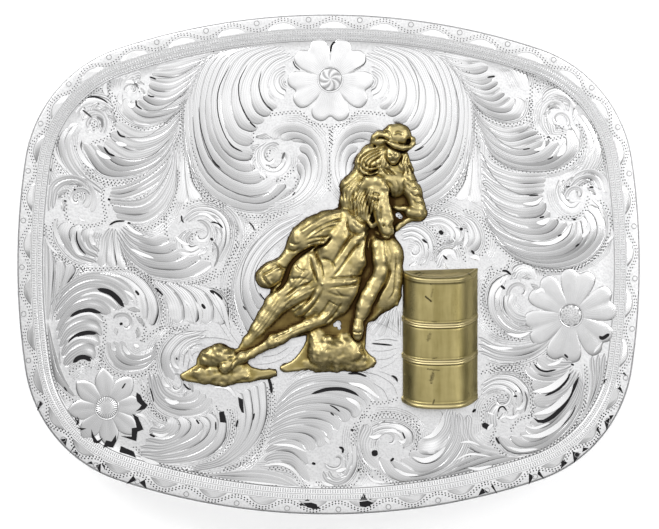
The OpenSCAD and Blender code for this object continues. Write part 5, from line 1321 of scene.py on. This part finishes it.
class Casting:
    """A solid as distances on a fine grid, in millimetres over the flat plate."""

    def __init__(self, low, high, step):
        self.low, self.step = np.array(low), step
        self.axes = [np.arange(low[i], high[i], step) for i in range(3)]
        self.field = np.full([len(a) for a in self.axes], 4.0, dtype=np.float32)

    def part(self, low, high):
        """The slices of the grid between two corners, and their coordinates."""
        found = []
        for axis, start, end in zip(self.axes, low, high):
            first = max(int((start - axis[0]) / self.step), 0)
            last = min(int((end - axis[0]) / self.step) + 2, len(axis))
            found.append(slice(first, max(last, first + 1)))
        x, y, z = (axis[s] for axis, s in zip(self.axes, found))
        return tuple(found), x[:, None, None], y[None, :, None], z[None, None, :]

    def add_backing(self, outline, top, rounding=0.4):
        """Adds a flat ground of the given outline, with rounded edges."""
        x, y, z = self.axes
        ends = np.reshape(outline + outline[:2], (-1, 2))
        away = np.full((len(x), len(y)), 9.0)
        within = np.zeros(away.shape, dtype=bool)
        for a, b in zip(ends[:-1], ends[1:]):
            dx, dy = x[:, None] - a[0], y[None, :] - a[1]
            across, up = b - a
            along = np.clip((dx * across + dy * up) / (across ** 2 + up ** 2), 0, 1)
            away = np.minimum(away, np.hypot(dx - along * across, dy - along * up))
            if a[1] != b[1]:
                level = (y > min(a[1], b[1])) & (y <= max(a[1], b[1]))
                edge_x = a[0] + (y - a[1]) * across / up
                within ^= level[None, :] & (x[:, None] < edge_x[None, :])
        side = np.where(within, -away, away)[:, :, None]
        ground = -smooth_least(-side, -(z - top)[None, None, :], rounding)
        self.field = np.minimum(self.field, ground).astype(np.float32)

    def add_form(self, rows, blend, seam, relief, lumps=None):
        """Adds a run of balls joined one to the next."""
        rows = np.array(rows)
        reach = rows[:, 3:4] + 0.9
        where, x, y, z = self.part((rows[:, :3] - reach).min(axis=0), (rows[:, :3] + reach).max(axis=0))
        form = None
        for a, b in zip(rows[:-1], rows[1:]):
            across, up, rise = b[0] - a[0], b[1] - a[1], (b[2] - a[2]) / relief
            dx, dy, dz = x - a[0], y - a[1], (z - a[2]) / relief
            length = across ** 2 + up ** 2 + rise ** 2
            along = np.clip((dx * across + dy * up + dz * rise) / length, 0, 1)
            away = np.sqrt((dx - along * across) ** 2 + (dy - along * up) ** 2 + (dz - along * rise) ** 2)
            away -= a[3] + along * (b[3] - a[3])
            form = away if form is None else smooth_least(form, away, blend)
        if lumps is not None:
            form = form + lumps[where[0], where[1], None]
        self.field[where] = smooth_least(self.field[where], form, seam)

    def chase(self, half_width, depth, points):
        """Cuts a tapering line into the surface, or raises it where the depth is below zero."""
        line = curve_through(points, 26)
        low, high = line.min(axis=0) - half_width, line.max(axis=0) + half_width
        where, x, y, _ = self.part((*low, -9), (*high, 9))
        x, y = x[:, :, 0], y[:, :, 0]
        a, b = line[:-1], line[1:]
        step = b - a
        dx, dy = x[..., None] - a[:, 0], y[..., None] - a[:, 1]
        along = np.clip((dx * step[:, 0] + dy * step[:, 1]) / (step ** 2).sum(axis=1), 0, 1)
        away = np.hypot(dx - along * step[:, 0], dy - along * step[:, 1])
        nearest = away.argmin(axis=2)
        away = np.take_along_axis(away, nearest[..., None], axis=2)[..., 0]
        along = np.take_along_axis(along, nearest[..., None], axis=2)[..., 0]
        share = (nearest + along) / len(a)
        taper = np.clip(np.minimum(share, 1 - share) * 5 + 0.25, 0, 1)
        cut = depth * taper * np.clip(1 - (away / half_width) ** 2, 0, 1) ** 2
        self.field[where] += cut[:, :, None].astype(np.float32)

    def drill(self, across, up, radius):
        where, x, y, z = self.part((across - 1.5, up - 1.5, -9), (across + 1.5, up + 1.5, 9))
        hole = radius - np.hypot(x - across, y - up) + 0 * z
        self.field[where] = np.maximum(self.field[where], hole)

    def cut_below(self, rise):
        self.field = np.maximum(self.field, rise - self.axes[2][None, None, :]).astype(np.float32)

    def surface(self):
        """Points and faces of the surface, one point in each grid cell that it crosses."""
        field, inside = self.field, self.field < 0
        corners = [(i, j, k) for i in (0, 1) for j in (0, 1) for k in (0, 1)]
        nx, ny, nz = (s - 1 for s in field.shape)
        count = sum(inside[i:nx + i, j:ny + j, k:nz + k].astype(np.int8) for i, j, k in corners)
        cells = np.argwhere((count > 0) & (count < 8))
        values = np.stack([field[tuple((cells + corner).T)] for corner in corners], axis=1)
        total, hits = np.zeros((len(cells), 3)), np.zeros(len(cells))
        for a in range(8):
            for b in range(a + 1, 8):
                offset = np.subtract(corners[b], corners[a])
                if np.abs(offset).sum() != 1:
                    continue
                va, vb = values[:, a], values[:, b]
                crossed = (va < 0) != (vb < 0)
                share = np.where(crossed, va / np.where(crossed, va - vb, 1), 0)
                total += crossed[:, None] * (np.array(corners[a]) + share[:, None] * offset)
                hits += crossed
        points = self.low + self.step * (cells + total / hits[:, None])
        number = np.full(count.shape, -1)
        number[tuple(cells.T)] = np.arange(len(cells))
        quads = []
        for axis, (u, v) in enumerate(((1, 2), (2, 0), (0, 1))):
            here, there = [slice(1, -1)] * 3, [slice(1, -1)] * 3
            here[axis], there[axis] = slice(0, -1), slice(1, None)
            change = inside[tuple(here)] != inside[tuple(there)]
            at = np.argwhere(change)
            at[:, u] += 1
            at[:, v] += 1
            out = inside[tuple(at.T)]
            ring = []
            for du, dv in ((-1, -1), (0, -1), (0, 0), (-1, 0)):
                cell = at.copy()
                cell[:, u] += du
                cell[:, v] += dv
                ring.append(number[tuple(cell.T)])
            quad = np.stack(ring, axis=1)
            quads.append(np.where(out[:, None], quad, quad[:, ::-1]))
        return points, np.concatenate(quads)

    def blurred(self, flat, spread):
        """A flat array of numbers over the grid, softened over spread millimetres."""
        reach = int(3 * spread / self.step)
        kernel = np.exp(-0.5 * (np.arange(-reach, reach + 1) * self.step / spread) ** 2)
        kernel /= kernel.sum()
        flat = np.apply_along_axis(np.convolve, 0, flat, kernel, "same")
        return np.apply_along_axis(np.convolve, 1, flat, kernel, "same")

    def lumps(self, size, seed):
        """Soft random lumps of about that size, from -1 to 1."""
        rough = np.random.default_rng(seed).normal(size=self.field.shape[:2])
        soft = self.blurred(rough, size)
        return np.clip(soft / (2 * soft.std()), -1, 1)

    def hollows(self, points, spread):
        """How far each point lies below the mean height round it, in millimetres."""
        solid = self.field < 0
        depth = len(self.axes[2])
        top = np.where(solid.any(axis=2), depth - 1 - solid[:, :, ::-1].argmax(axis=2), 0)
        height = np.where(solid.any(axis=2), self.axes[2][top], 0.0)
        weight = solid.any(axis=2).astype(float)
        mean = self.blurred(height * weight, spread) / np.maximum(self.blurred(weight, spread), 1e-3)
        i = np.clip(((points[:, 0] - self.low[0]) / self.step).round().astype(int), 0, mean.shape[0] - 1)
        j = np.clip(((points[:, 1] - self.low[1]) / self.step).round().astype(int), 0, mean.shape[1] - 1)
        return mean[i, j] - points[:, 2]


def antique_brass():
    """Cast brass: brown in its hollows, worn bright on its high places, with fine casting grain."""
    material, tree, shader = new_material("antique_brass", roughness=0.3)
    place = node(tree, "ShaderNodeTexCoord")
    hollow = node(tree, "ShaderNodeAttribute", attribute_name="hollow")
    grain = node(tree, "ShaderNodeTexNoise", Scale=1300.0, Detail=4.0, Roughness=0.6)
    cloud = node(tree, "ShaderNodeTexNoise", Scale=620.0, Detail=5.0, Roughness=0.62)
    worn = node(tree, "ShaderNodeMath", {1: 0.5}, operation="MULTIPLY_ADD")
    ramp = node(tree, "ShaderNodeValToRGB")
    stops = ramp.color_ramp.elements
    stops[0].position, stops[0].color = 0.22, BRASS_WORN
    stops[1].position, stops[1].color = 1.0, BRASS_BROWN
    stops.new(0.45).color = BRASS
    stops.new(0.72).color = BRASS_DULL
    rough = node(tree, "ShaderNodeMapRange", {"To Min": 0.3, "To Max": 0.6})
    bump = node(tree, "ShaderNodeBump", Strength=0.25, Distance=0.00005)
    wire(tree, (place, "Object", grain, "Vector"), (place, "Object", cloud, "Vector"),
         (cloud, "Fac", worn, 0), (hollow, "Fac", worn, 2), (worn, 0, ramp, "Fac"),
         (ramp, "Color", shader, "Base Color"),
         (worn, 0, rough, "Value"), (rough, "Result", shader, "Roughness"),
         (grain, "Fac", bump, "Height"), (bump, "Normal", shader, "Normal"))
    return material


def horse_and_rider():
    casting = Casting(CAST_LOW, CAST_HIGH, CAST_STEP)
    clods = sum(rise * casting.lumps(size, seed) for rise, size, seed in CLODS)
    for forms, lumps in ((DUST_FORMS, clods), (CAST_FORMS, None)):
        for blend, seam, relief, rows in forms:
            casting.add_form(rows, blend, seam, relief, lumps)
    x, y = casting.axes[0][:, None], casting.axes[1][None, :]
    rough = 1 - np.exp(-((x - FACE_X) ** 2 + (y - FACE_Y) ** 2) / FACE_SPREAD)
    grain = rough * sum(rise * casting.lumps(size, seed) for rise, size, seed in GRAIN)
    casting.field += grain[:, :, None].astype(np.float32)
    for line in CHASING:
        casting.chase(*line)
    for half_width, depth, count, first, last in STRANDS:
        for share in np.linspace(0, 1, count):
            casting.chase(half_width, depth, np.array(first) * (1 - share) + np.array(last) * share)
    casting.add_backing(CAST_OUTLINE, BACKING_TOP)
    for hole in CAST_HOLES:
        casting.drill(*hole)
    casting.cut_below(SEAT_GAP)
    points, faces = casting.surface()
    fine, middling, broad = (casting.hollows(points, spread) for spread in (0.2, 0.4, 1.0))
    ground = np.clip((1.25 - points[:, 2]) / 0.3, 0, 1) * np.clip(points[:, 1] + 13, 0, 1)
    hollow = np.clip(0.26 + 1.6 * fine + 1.2 * middling + 0.4 * broad + 0.17 * ground, 0, 1)
    return make_mesh("horse_and_rider_casting", on_face(points), faces, antique_brass(), {"hollow": hollow})


finished(horse_and_rider(), "figure_brass", "horse_and_rider")

# Drum
# A cast half drum, soldered on beside the horse. Its ends and rolled hoops lean back, so that the
# sunk lid shows from above. Satin brass with handling marks and pale streaks along it, which are
# painted reflection. Its hoops are worn bright, which also paints their highlight, and the lid and
# the top of the drum carry painted highlight, fading towards its sides.
DRUM_X, DRUM_TOP_Y = 17.85, -0.8
DRUM_W, DRUM_L, DRUM_H = 12.8, 21.2, 3.2
DRUM_LEAN = math.radians(24)
HOOP_W, HOOP_H = 0.95, 0.3
# Where the two rolled hoops and the rolled lower lip begin, and their shapes down the drum: distance,
# and how far the wall stands out there, as a share of the hoop's height
HOOP_STARTS = [0.34 * DRUM_L, 0.62 * DRUM_L, DRUM_L - HOOP_W]
HOOP = [(-0.2, -0.02), (-0.04, -0.12), (0.06, 0.3), (0.16, 0.8), (0.3, 1.0), (0.42, 0.8), (0.5, 0.5),
        (0.58, 0.52), (0.68, 0.72), (0.8, 0.62), (0.9, 0.2), (1.0, -0.14), (1.12, -0.05), (1.28, 0.0)]
LOW_LIP = [(-0.2, -0.03), (0.0, -0.1), (0.1, 0.3), (0.22, 0.8), (0.4, 1.0), (0.6, 0.95), (0.78, 0.7),
           (0.9, 0.3)]
# The upper lip, round the lid: distance down the drum, and how far the wall stands out
DRUM_LIP = [(0.0, -0.1), (0.06, 0.06), (0.18, 0.15), (0.34, 0.17), (0.5, 0.12), (0.62, 0.13), (0.76, 0.12),
            (0.9, 0.03)]
# LID_HIGHLIGHT: how bright the sunk lid is painted, as highlight
RIM_W, LID_SINK, LID_HIGHLIGHT = 0.6, 0.45, 0.8
SHOULDER_RISE = 0.5             # how much squarer the casting is than a round bar
# DRUM_STREAK_SHEEN: pale streaks, painted reflection; DRUM_BRIGHT: worn hoops and painted highlight
DRUM_SATIN = (0.35, 0.29, 0.115, 1.0)
DRUM_STREAK_SHEEN = (0.52, 0.44, 0.20, 1.0)
DRUM_BRIGHT = (0.93, 0.80, 0.44, 1.0)
DRUM_STAIN = (0.06, 0.048, 0.024, 1.0)
# Scratches and stains: from across and up, to across and up, half width, how dark
DRUM_MARKS = [
    (15.7, -5.2, 16.6, -5.95, 0.13, 1.3), (16.5, -3.1, 16.6, -3.3, 0.1, 0.8),
    (16.9, -4.0, 16.6, -5.2, 0.2, 0.4), (16.4, -11.2, 16.1, -12.2, 0.35, 0.45),
    (16.0, -16.9, 17.9, -17.1, 0.14, 0.7), (16.9, -17.6, 16.6, -18.7, 0.36, 0.6),
    (17.0, -17.9, 16.9, -18.3, 0.18, 0.5), (16.5, -19.1, 16.7, -19.2, 0.12, 0.7),
    (17.1, -21.9, 16.9, -22.5, 0.16, 0.8), (16.7, -9.2, 17.4, -9.3, 0.12, 0.6),
    (16.8, -15.2, 17.5, -15.1, 0.12, 0.6), (13.2, -18.2, 13.0, -21.3, 0.5, 0.35),
    (13.6, -2.6, 13.5, -8.0, 0.6, 0.28), (20.4, -3.0, 20.6, -8.0, 0.5, 0.16),
    (22.7, -20.7, 22.8, -21.3, 0.25, 0.3), (12.4, -21.9, 12.5, -22.4, 0.4, 0.5),
    (14.0, -1.5, 14.9, -1.3, 0.14, 0.6), (14.5, -1.9, 15.4, -1.4, 0.12, 0.5),
    (22.6, -1.4, 23.2, -1.9, 0.15, 0.5),
]


def satin_brass():
    """Cast brass with a dull skin, painted pale reflection streaks along it, worn and highlighted bright."""
    material, tree, shader = new_material("satin_brass", roughness=0.36)
    place = node(tree, "ShaderNodeTexCoord")
    wear_and_highlight = node(tree, "ShaderNodeAttribute", attribute_name="wear_and_highlight")
    stain = node(tree, "ShaderNodeAttribute", attribute_name="stain")
    stretch = node(tree, "ShaderNodeMapping", Scale=(1.0, 0.12, 0.4))
    streaks = node(tree, "ShaderNodeTexNoise", Scale=620.0, Detail=4.0, Roughness=0.55)
    cloud = node(tree, "ShaderNodeTexNoise", Scale=520.0, Detail=3.0)
    specks = node(tree, "ShaderNodeTexNoise", Scale=3600.0, Detail=2.0)
    ragged = node(tree, "ShaderNodeMath", {1: 1.5}, operation="MULTIPLY_ADD")
    spotted = node(tree, "ShaderNodeMapRange", {"From Min": 0.75, "From Max": 1.7})
    mottle = node(tree, "ShaderNodeMath", {1: 0.35}, operation="MULTIPLY_ADD")
    share = node(tree, "ShaderNodeMapRange", {"From Min": 0.5, "From Max": 0.85})
    skin = node(tree, "ShaderNodeMix", {6: DRUM_SATIN, 7: DRUM_STREAK_SHEEN}, data_type="RGBA")
    bright = node(tree, "ShaderNodeMix", {7: DRUM_BRIGHT}, data_type="RGBA")
    marked = node(tree, "ShaderNodeMix", {7: DRUM_STAIN}, data_type="RGBA")
    rough = node(tree, "ShaderNodeMapRange", {"To Min": 0.32, "To Max": 0.5})
    bump = node(tree, "ShaderNodeBump", Strength=0.25, Distance=0.00006)
    wire(tree, (place, "Object", stretch, "Vector"), (stretch, "Vector", streaks, "Vector"),
         (place, "Object", cloud, "Vector"), (place, "Object", specks, "Vector"),
         (cloud, "Fac", mottle, 0), (streaks, "Fac", mottle, 2), (mottle, 0, share, "Value"),
         (share, "Result", skin, 0), (skin, 2, bright, 6), (wear_and_highlight, "Fac", bright, 0),
         (stain, "Fac", ragged, 0), (specks, "Fac", ragged, 2), (ragged, 0, spotted, "Value"),
         (bright, 2, marked, 6), (spotted, "Result", marked, 0), (marked, 2, shader, "Base Color"),
         (streaks, "Fac", rough, "Value"), (rough, "Result", shader, "Roughness"),
         (mottle, 0, bump, "Height"), (bump, "Normal", shader, "Normal"))
    return material


def drum():
    base = CROWN_Z - bend_drop(DRUM_X)
    rise = DRUM_H + bend_drop(DRUM_X + DRUM_W / 2) - bend_drop(DRUM_X)
    radius = (DRUM_W ** 2 / 4 + rise ** 2) / (2 * rise)
    axis_z = base + DRUM_H - radius
    rng = np.random.default_rng(5)
    half = math.asin(DRUM_W / 2 / radius)
    across = np.linspace(-half, half, 2000)
    wall_z = axis_z + radius * np.cos(across)
    clear = wall_z > CROWN_Z - bend_drop(DRUM_X + radius * np.sin(across)) + SEAT_GAP
    across = np.linspace(across[clear][0], across[clear][-1], 121)
    dents = np.interp(np.linspace(0, 1, 121), np.linspace(0, 1, 14), rng.uniform(-0.03, 0.03, 14))
    down = list(DRUM_LIP)
    for start, profile in zip(HOOP_STARTS, (HOOP, HOOP, LOW_LIP)):
        down += [(v, 0.0) for v in np.arange(down[-1][0] + 0.14, start - 0.25, 0.16)]
        down += [(start + v, HOOP_H * out) for v, out in profile]
    down += [(DRUM_L, -0.2)]
    rings, wear_and_highlight = [], []

    def add_ring(sink, out, polish_and_highlight, share=1.0):
        """One leaning ring: over the wall from right to left, and back along the plate."""
        reach = np.minimum(radius + out, radius + HOOP_H)
        x = DRUM_X + share * np.clip(reach * np.sin(across), -DRUM_W / 2, DRUM_W / 2)
        off = (x - DRUM_X) / share
        side = (2 * off / DRUM_W) ** 2
        top = axis_z + np.sqrt(reach ** 2 - off ** 2) + 4 * SHOULDER_RISE * side * (1 - side)
        under = CROWN_Z - bend_drop(x) + SEAT_GAP
        z = under + share * np.maximum(top - CROWN_Z + bend_drop(DRUM_X + off) - SEAT_GAP, 0.02)
        x, z = np.concatenate([x[::-1], x[::6]]), np.concatenate([z[::-1], under[::6]])
        if sink < 1:
            sink = sink * np.clip((z - CROWN_Z + bend_drop(x) - SEAT_GAP) / 0.5, 0, 1)
        rings.append(np.column_stack([x, DRUM_TOP_Y - sink - math.tan(DRUM_LEAN) * (z - base), z]))
        wear_and_highlight.append(polish_and_highlight)

    # The lid from its middle to its edge, then the inside of its rim
    for share, sink in ((0.03, 0.9), (0.2, 0.9), (0.4, 0.95), (0.55, 1.0), (0.62, 0.75), (0.7, 0.75),
                        (0.78, 1.0), (0.86, 1.05), (0.94, 1.0)):
        # Painted highlight on the lid
        add_ring(LID_SINK * sink, -RIM_W - 0.08, LID_HIGHLIGHT, share)
    for sink, out in ((LID_SINK, -0.08), (LID_SINK - 0.1, 0.0), (0.12, 0.04), (0.02, 0.14), (0.0, 0.3)):
        add_ring(sink, -RIM_W + out, LID_HIGHLIGHT)
    for v, out in down:
        # Hoops worn bright, which also paints their highlight; less at the drum's ends
        edge = 0.55 if v < 1.0 or v > DRUM_L - HOOP_W else 1.0
        polish_and_highlight = np.clip(out / HOOP_H * 1.7, 0, 1) * edge
        add_ring(v, out + dents * (0.6 + 0.4 * math.sin(v)), polish_and_highlight)
    for share in (0.9, 0.6, 0.3, 0.05):
        rings.append(rings[-1] * (share, share, share) + (1 - share) * rings[-1].mean(axis=0))
        wear_and_highlight.append(0.0)
    points = np.concatenate(rings + [[rings[0].mean(axis=0), rings[-1].mean(axis=0)]])
    polish_and_highlight = np.concatenate([np.repeat(wear_and_highlight, len(rings[0])), [0, 0]])
    # Painted highlight, brightest along the drum's top and fading towards its sides
    polish_and_highlight *= np.clip(1.05 - np.abs(points[:, 0] - DRUM_X + 0.5) / 9, 0.2, 1)
    stain = np.zeros(len(points))
    for x0, y0, x1, y1, half_width, dark in DRUM_MARKS:
        step = np.array([x1 - x0, y1 - y0])
        away = points[:, :2] - (x0, y0)
        along = np.clip(away @ step / (step @ step), 0, 1)
        gap = np.hypot(*(away - along[:, None] * step).T)
        stain = np.maximum(stain, dark * np.exp(-(gap / half_width) ** 2))
    values = {"wear_and_highlight": polish_and_highlight, "stain": np.clip(stain, 0, 1)}
    faces = tube_faces(len(rings), len(rings[0]))
    return make_mesh("drum_casting", points * MM, faces, satin_brass(), values)


finished(drum(), "drum_brass", "drum")

# Strap loop
# A bent wire loop with round feet, soldered on the back at one end, for the sewn end of the strap.
# Plain satin nickel silver. The photo doesn't show it.
LOOP_X, LEG_Y, WIRE_R, BEND_R = 38.0, 21.6, 1.6, 3.4
FOOT_R, FOOT_T = 3.6, 1.2
FITTING_METAL = (0.62, 0.62, 0.61, 1.0)
FITTING_TARNISH = (0.45, 0.44, 0.42, 1.0)


def satin_nickel():
    """Nickel silver with fine rubbing marks and a faint cloudy tarnish."""
    material, tree, shader = new_material("satin_nickel", roughness=0.34)
    place = node(tree, "ShaderNodeTexCoord")
    stretch = node(tree, "ShaderNodeMapping", Scale=(1.0, 0.08, 1.0))
    marks = node(tree, "ShaderNodeTexNoise", Scale=3200.0, Detail=3.0)
    cloud = node(tree, "ShaderNodeTexNoise", Scale=240.0, Detail=3.0)
    tone = node(tree, "ShaderNodeMix", {6: FITTING_METAL, 7: FITTING_TARNISH}, data_type="RGBA")
    rough = node(tree, "ShaderNodeMapRange", {"To Min": 0.26, "To Max": 0.46})
    bump = node(tree, "ShaderNodeBump", Strength=0.3, Distance=0.00002)
    wire(tree, (place, "Object", stretch, "Vector"), (stretch, "Vector", marks, "Vector"),
         (place, "Object", cloud, "Vector"), (cloud, "Fac", tone, 0), (tone, 2, shader, "Base Color"),
         (marks, "Fac", rough, "Value"), (rough, "Result", shader, "Roughness"),
         (marks, "Fac", bump, "Height"), (bump, "Normal", shader, "Normal"))
    return material


def turned(profile, sides=48):
    """A round solid: rings of the given radius and height, closed at both ends."""
    rings = [at_height(r * rays(full_turn(sides)), h) for r, h in profile]
    points = np.concatenate(rings + [np.array([[0, 0, profile[0][1]], [0, 0, profile[-1][1]]])])
    return points, tube_faces(len(rings), sides)


def back_z(x):
    """Height of the plate's back over the floor."""
    return CROWN_Z - PLATE_T - bend_drop(x, WAIST_R - PLATE_T)


def against_back(points, x, y, lean=None):
    """Puts points, whose third value grows away from the plate's back, at a place on that back."""
    turn = math.asin(x / WAIST_R) if lean is None else lean
    over, out = points[:, 0] * math.cos(turn), points[:, 0] * math.sin(turn)
    return np.column_stack([x + over - points[:, 2] * math.sin(turn), y - points[:, 1],
                            back_z(x) - out - points[:, 2] * math.cos(turn)])


def joined(*solids):
    """Points and faces of several solids in one list each."""
    points, faces, count = [], [], 0
    for shape, sides in solids:
        points.append(shape)
        faces += [tuple(i + count for i in face) for face in sides]
        count += len(shape)
    return np.concatenate(points), faces


def foot_profile(neck_r, neck_h):
    """A round foot with eased edges and a fillet of solder up to a neck."""
    return [(0.5, SEAT_GAP), (2.4, SEAT_GAP), (FOOT_R - 0.15, SEAT_GAP), (FOOT_R, SEAT_GAP + 0.15),
            (FOOT_R, FOOT_T - 0.1), (FOOT_R - 0.2, FOOT_T + 0.08), (neck_r + 0.8, FOOT_T + 0.1),
            (neck_r + 0.3, FOOT_T + 0.4), (neck_r, FOOT_T + 0.9), (neck_r, neck_h)]


def strap_loop():
    foot, foot_faces = turned(foot_profile(WIRE_R - 0.05, FOOT_T + 1.1))
    feet = [(against_back(foot, LOOP_X, side * LEG_Y), foot_faces) for side in (-1, 1)]
    top = back_z(LOOP_X) - FOOT_T
    turn = np.linspace(0, math.pi / 2, 17)
    bend = np.column_stack([LEG_Y - BEND_R + BEND_R * np.cos(turn), WIRE_R + BEND_R - BEND_R * np.sin(turn)])
    path = np.vstack([[(LEG_Y, top), (LEG_Y, 0.5 * top + 0.5 * (WIRE_R + BEND_R))], bend,
                      [(LEG_Y * share, WIRE_R) for share in (0.6, 0.3, 0.0)]])
    path = np.vstack([path, path[-2::-1] * (-1, 1)])
    along = np.gradient(path, axis=0)
    along /= np.hypot(*along.T)[:, None]
    ray = WIRE_R * rays(full_turn(32))
    rings = [np.column_stack([LOOP_X + ray[:, 0], y + ray[:, 1] * dz, z - ray[:, 1] * dy])
             for (y, z), (dy, dz) in zip(path, along)]
    rod = np.concatenate(rings + [np.array([[LOOP_X, LEG_Y, top], [LOOP_X, -LEG_Y, top]])])
    points, faces = joined(*feet, (rod, tube_faces(len(rings), len(ray))))
    return make_mesh("strap_loop", points * MM, faces, FITTING)


FITTING = satin_nickel()
finished(strap_loop(), "fitting_metal", "belt_loop")

# Hook prong
# A straight pin with a flared root on a round foot, soldered on the back at the other end. It goes
# through a hole in the strap. Plain satin nickel silver. The photo doesn't show it.
PRONG_X, PRONG_R, PRONG_LEAN = -33.0, 1.9, math.radians(8)
FLARE_R, FLARE_L = 3.0, 2.8


def hook_prong():
    length = (back_z(PRONG_X) - PRONG_R) / math.cos(PRONG_LEAN)
    foot, foot_faces = turned(foot_profile(FLARE_R - 0.7, FOOT_T + 0.95)[:-2] + [(1.0, FOOT_T + 0.4)])
    turn = np.linspace(0, math.pi / 2, 13)[1:-1]
    pin = [(FLARE_R - 0.6, 0.7), (FLARE_R - 0.48, 1.3), (PRONG_R + 0.3, 1.9), (PRONG_R + 0.08, 2.5),
           (PRONG_R, FLARE_L)]
    pin += [(PRONG_R, h) for h in np.linspace(FLARE_L + 0.6, length, 6)]
    pin += [(PRONG_R * math.cos(t), length + PRONG_R * math.sin(t)) for t in turn]
    shape, faces = turned(pin)
    shape[-1, 2] = length + PRONG_R
    points, faces = joined((against_back(foot, PRONG_X, 0.0), foot_faces),
                           (against_back(shape, PRONG_X, 0.0, PRONG_LEAN), faces))
    return make_mesh("hook_pin", points * MM, faces, FITTING)


finished(hook_prong(), "fitting_metal", "hook_prong")

# Studio
# A pale floor under a white light tent. The tent is bright overhead, and darker towards the
# horizon and beyond the buckle's lower edge, so that level metal is white and steep cuts draw dark.
FLOOR, FLOOR_GLOW = (0.93, 0.93, 0.93, 1.0), 0.45
VIEW_W = 659                    # the photograph's frame, in pixels
PIXEL = 0.1622                  # millimetres of the crown in one pixel
CAMERA_RISE = 800.0
SHIFT_PX = 1.0                  # how far the camera stands to the right, in pixels
# The tent: how high a place on it stands, from 0 to 1 overhead, and its grey there
TENT = [(0.2, 0.05), (0.4, 0.12), (0.6, 0.30), (0.8, 0.55), (0.93, 0.78), (0.97, 0.90)]
TENT_SIDE = (0.15, 1.0, 0.0)    # the side that is brighter
TENT_BLEND = 0.072
TENT_POWER = (0.68, 1.06)       # on the darker side and on the brighter one
# Lamps: place in metres, width, depth and power. The panel hangs level, over the buckle's top half
SOFTBOXES = [
    ("softbox_left", (-0.42, 0.40, 0.62), 0.34, 0.34, 2.2),
    ("softbox_right", (0.50, 0.22, 0.60), 0.26, 0.26, 1.2),
    ("panel", (0.0, 0.255, 0.30), 0.9, 0.5, 0.36),
]


def studio():
    material, _, shader = new_material("floor_paper", metallic=0.0, roughness=0.9)
    for socket, value in (("Base Color", FLOOR), ("Specular IOR Level", 0.0),
                          ("Emission Color", (1.0, 1.0, 1.0, 1.0)), ("Emission Strength", FLOOR_GLOW)):
        shader.inputs[socket].default_value = value
    corners = np.array([(-2, -2, 0), (2, -2, 0), (2, 2, 0), (-2, 2, 0)], dtype=float)
    floor = make_mesh("floor", corners, [(0, 1, 2, 3)], material)

    world = bpy.data.worlds.new("light_tent")
    bpy.context.scene.world = world
    world.use_nodes = True
    tree = world.node_tree
    background = tree.nodes["Background"]
    place = node(tree, "ShaderNodeTexCoord")
    parts = node(tree, "ShaderNodeSeparateXYZ")
    ramp = node(tree, "ShaderNodeValToRGB")
    stops = ramp.color_ramp.elements
    stops[0].position, stops[0].color = 0.0, (0.03, 0.03, 0.03, 1)
    stops[1].position, stops[1].color = 1.0, (1.0, 1.0, 1.0, 1)
    for height, grey in TENT:
        stops.new(height).color = (grey, grey, grey, 1)
    sideways = node(tree, "ShaderNodeVectorMath", {1: TENT_SIDE}, operation="DOT_PRODUCT")
    lean = node(tree, "ShaderNodeMapRange", {"From Min": -TENT_BLEND, "From Max": TENT_BLEND,
                                             "To Min": TENT_POWER[0], "To Max": TENT_POWER[1]})
    wire(tree, (place, "Generated", parts, 0), (parts, "Z", ramp, "Fac"),
         (ramp, "Color", background, "Color"),
         (place, "Generated", sideways, 0), (sideways, "Value", lean, "Value"),
         (lean, "Result", background, "Strength"))

    camera = bpy.data.cameras.new("camera")
    camera.sensor_width = 36.0
    camera.lens = 36.0 * (CAMERA_RISE - CROWN_Z) / (VIEW_W * PIXEL)
    seen_from = bpy.data.objects.new("camera", camera)
    seen_from.location = (SHIFT_PX * PIXEL * MM, 0.0, CAMERA_RISE * MM)
    bpy.context.scene.collection.objects.link(seen_from)
    bpy.context.scene.camera = seen_from
    bpy.context.scene.view_settings.view_transform = "Standard"

    for name, spot, wide, deep, power in SOFTBOXES:
        light = bpy.data.lights.new(name, "AREA")
        light.shape, light.size, light.size_y, light.energy = "RECTANGLE", wide, deep, power
        lamp = bpy.data.objects.new(name, light)
        lamp.location = spot
        lamp.visible_camera = False
        if name != "panel":
            lamp.rotation_mode = "QUATERNION"
            lamp.rotation_quaternion = (-lamp.location).to_track_quat("-Z", "Y")
        bpy.context.scene.collection.objects.link(lamp)


studio()
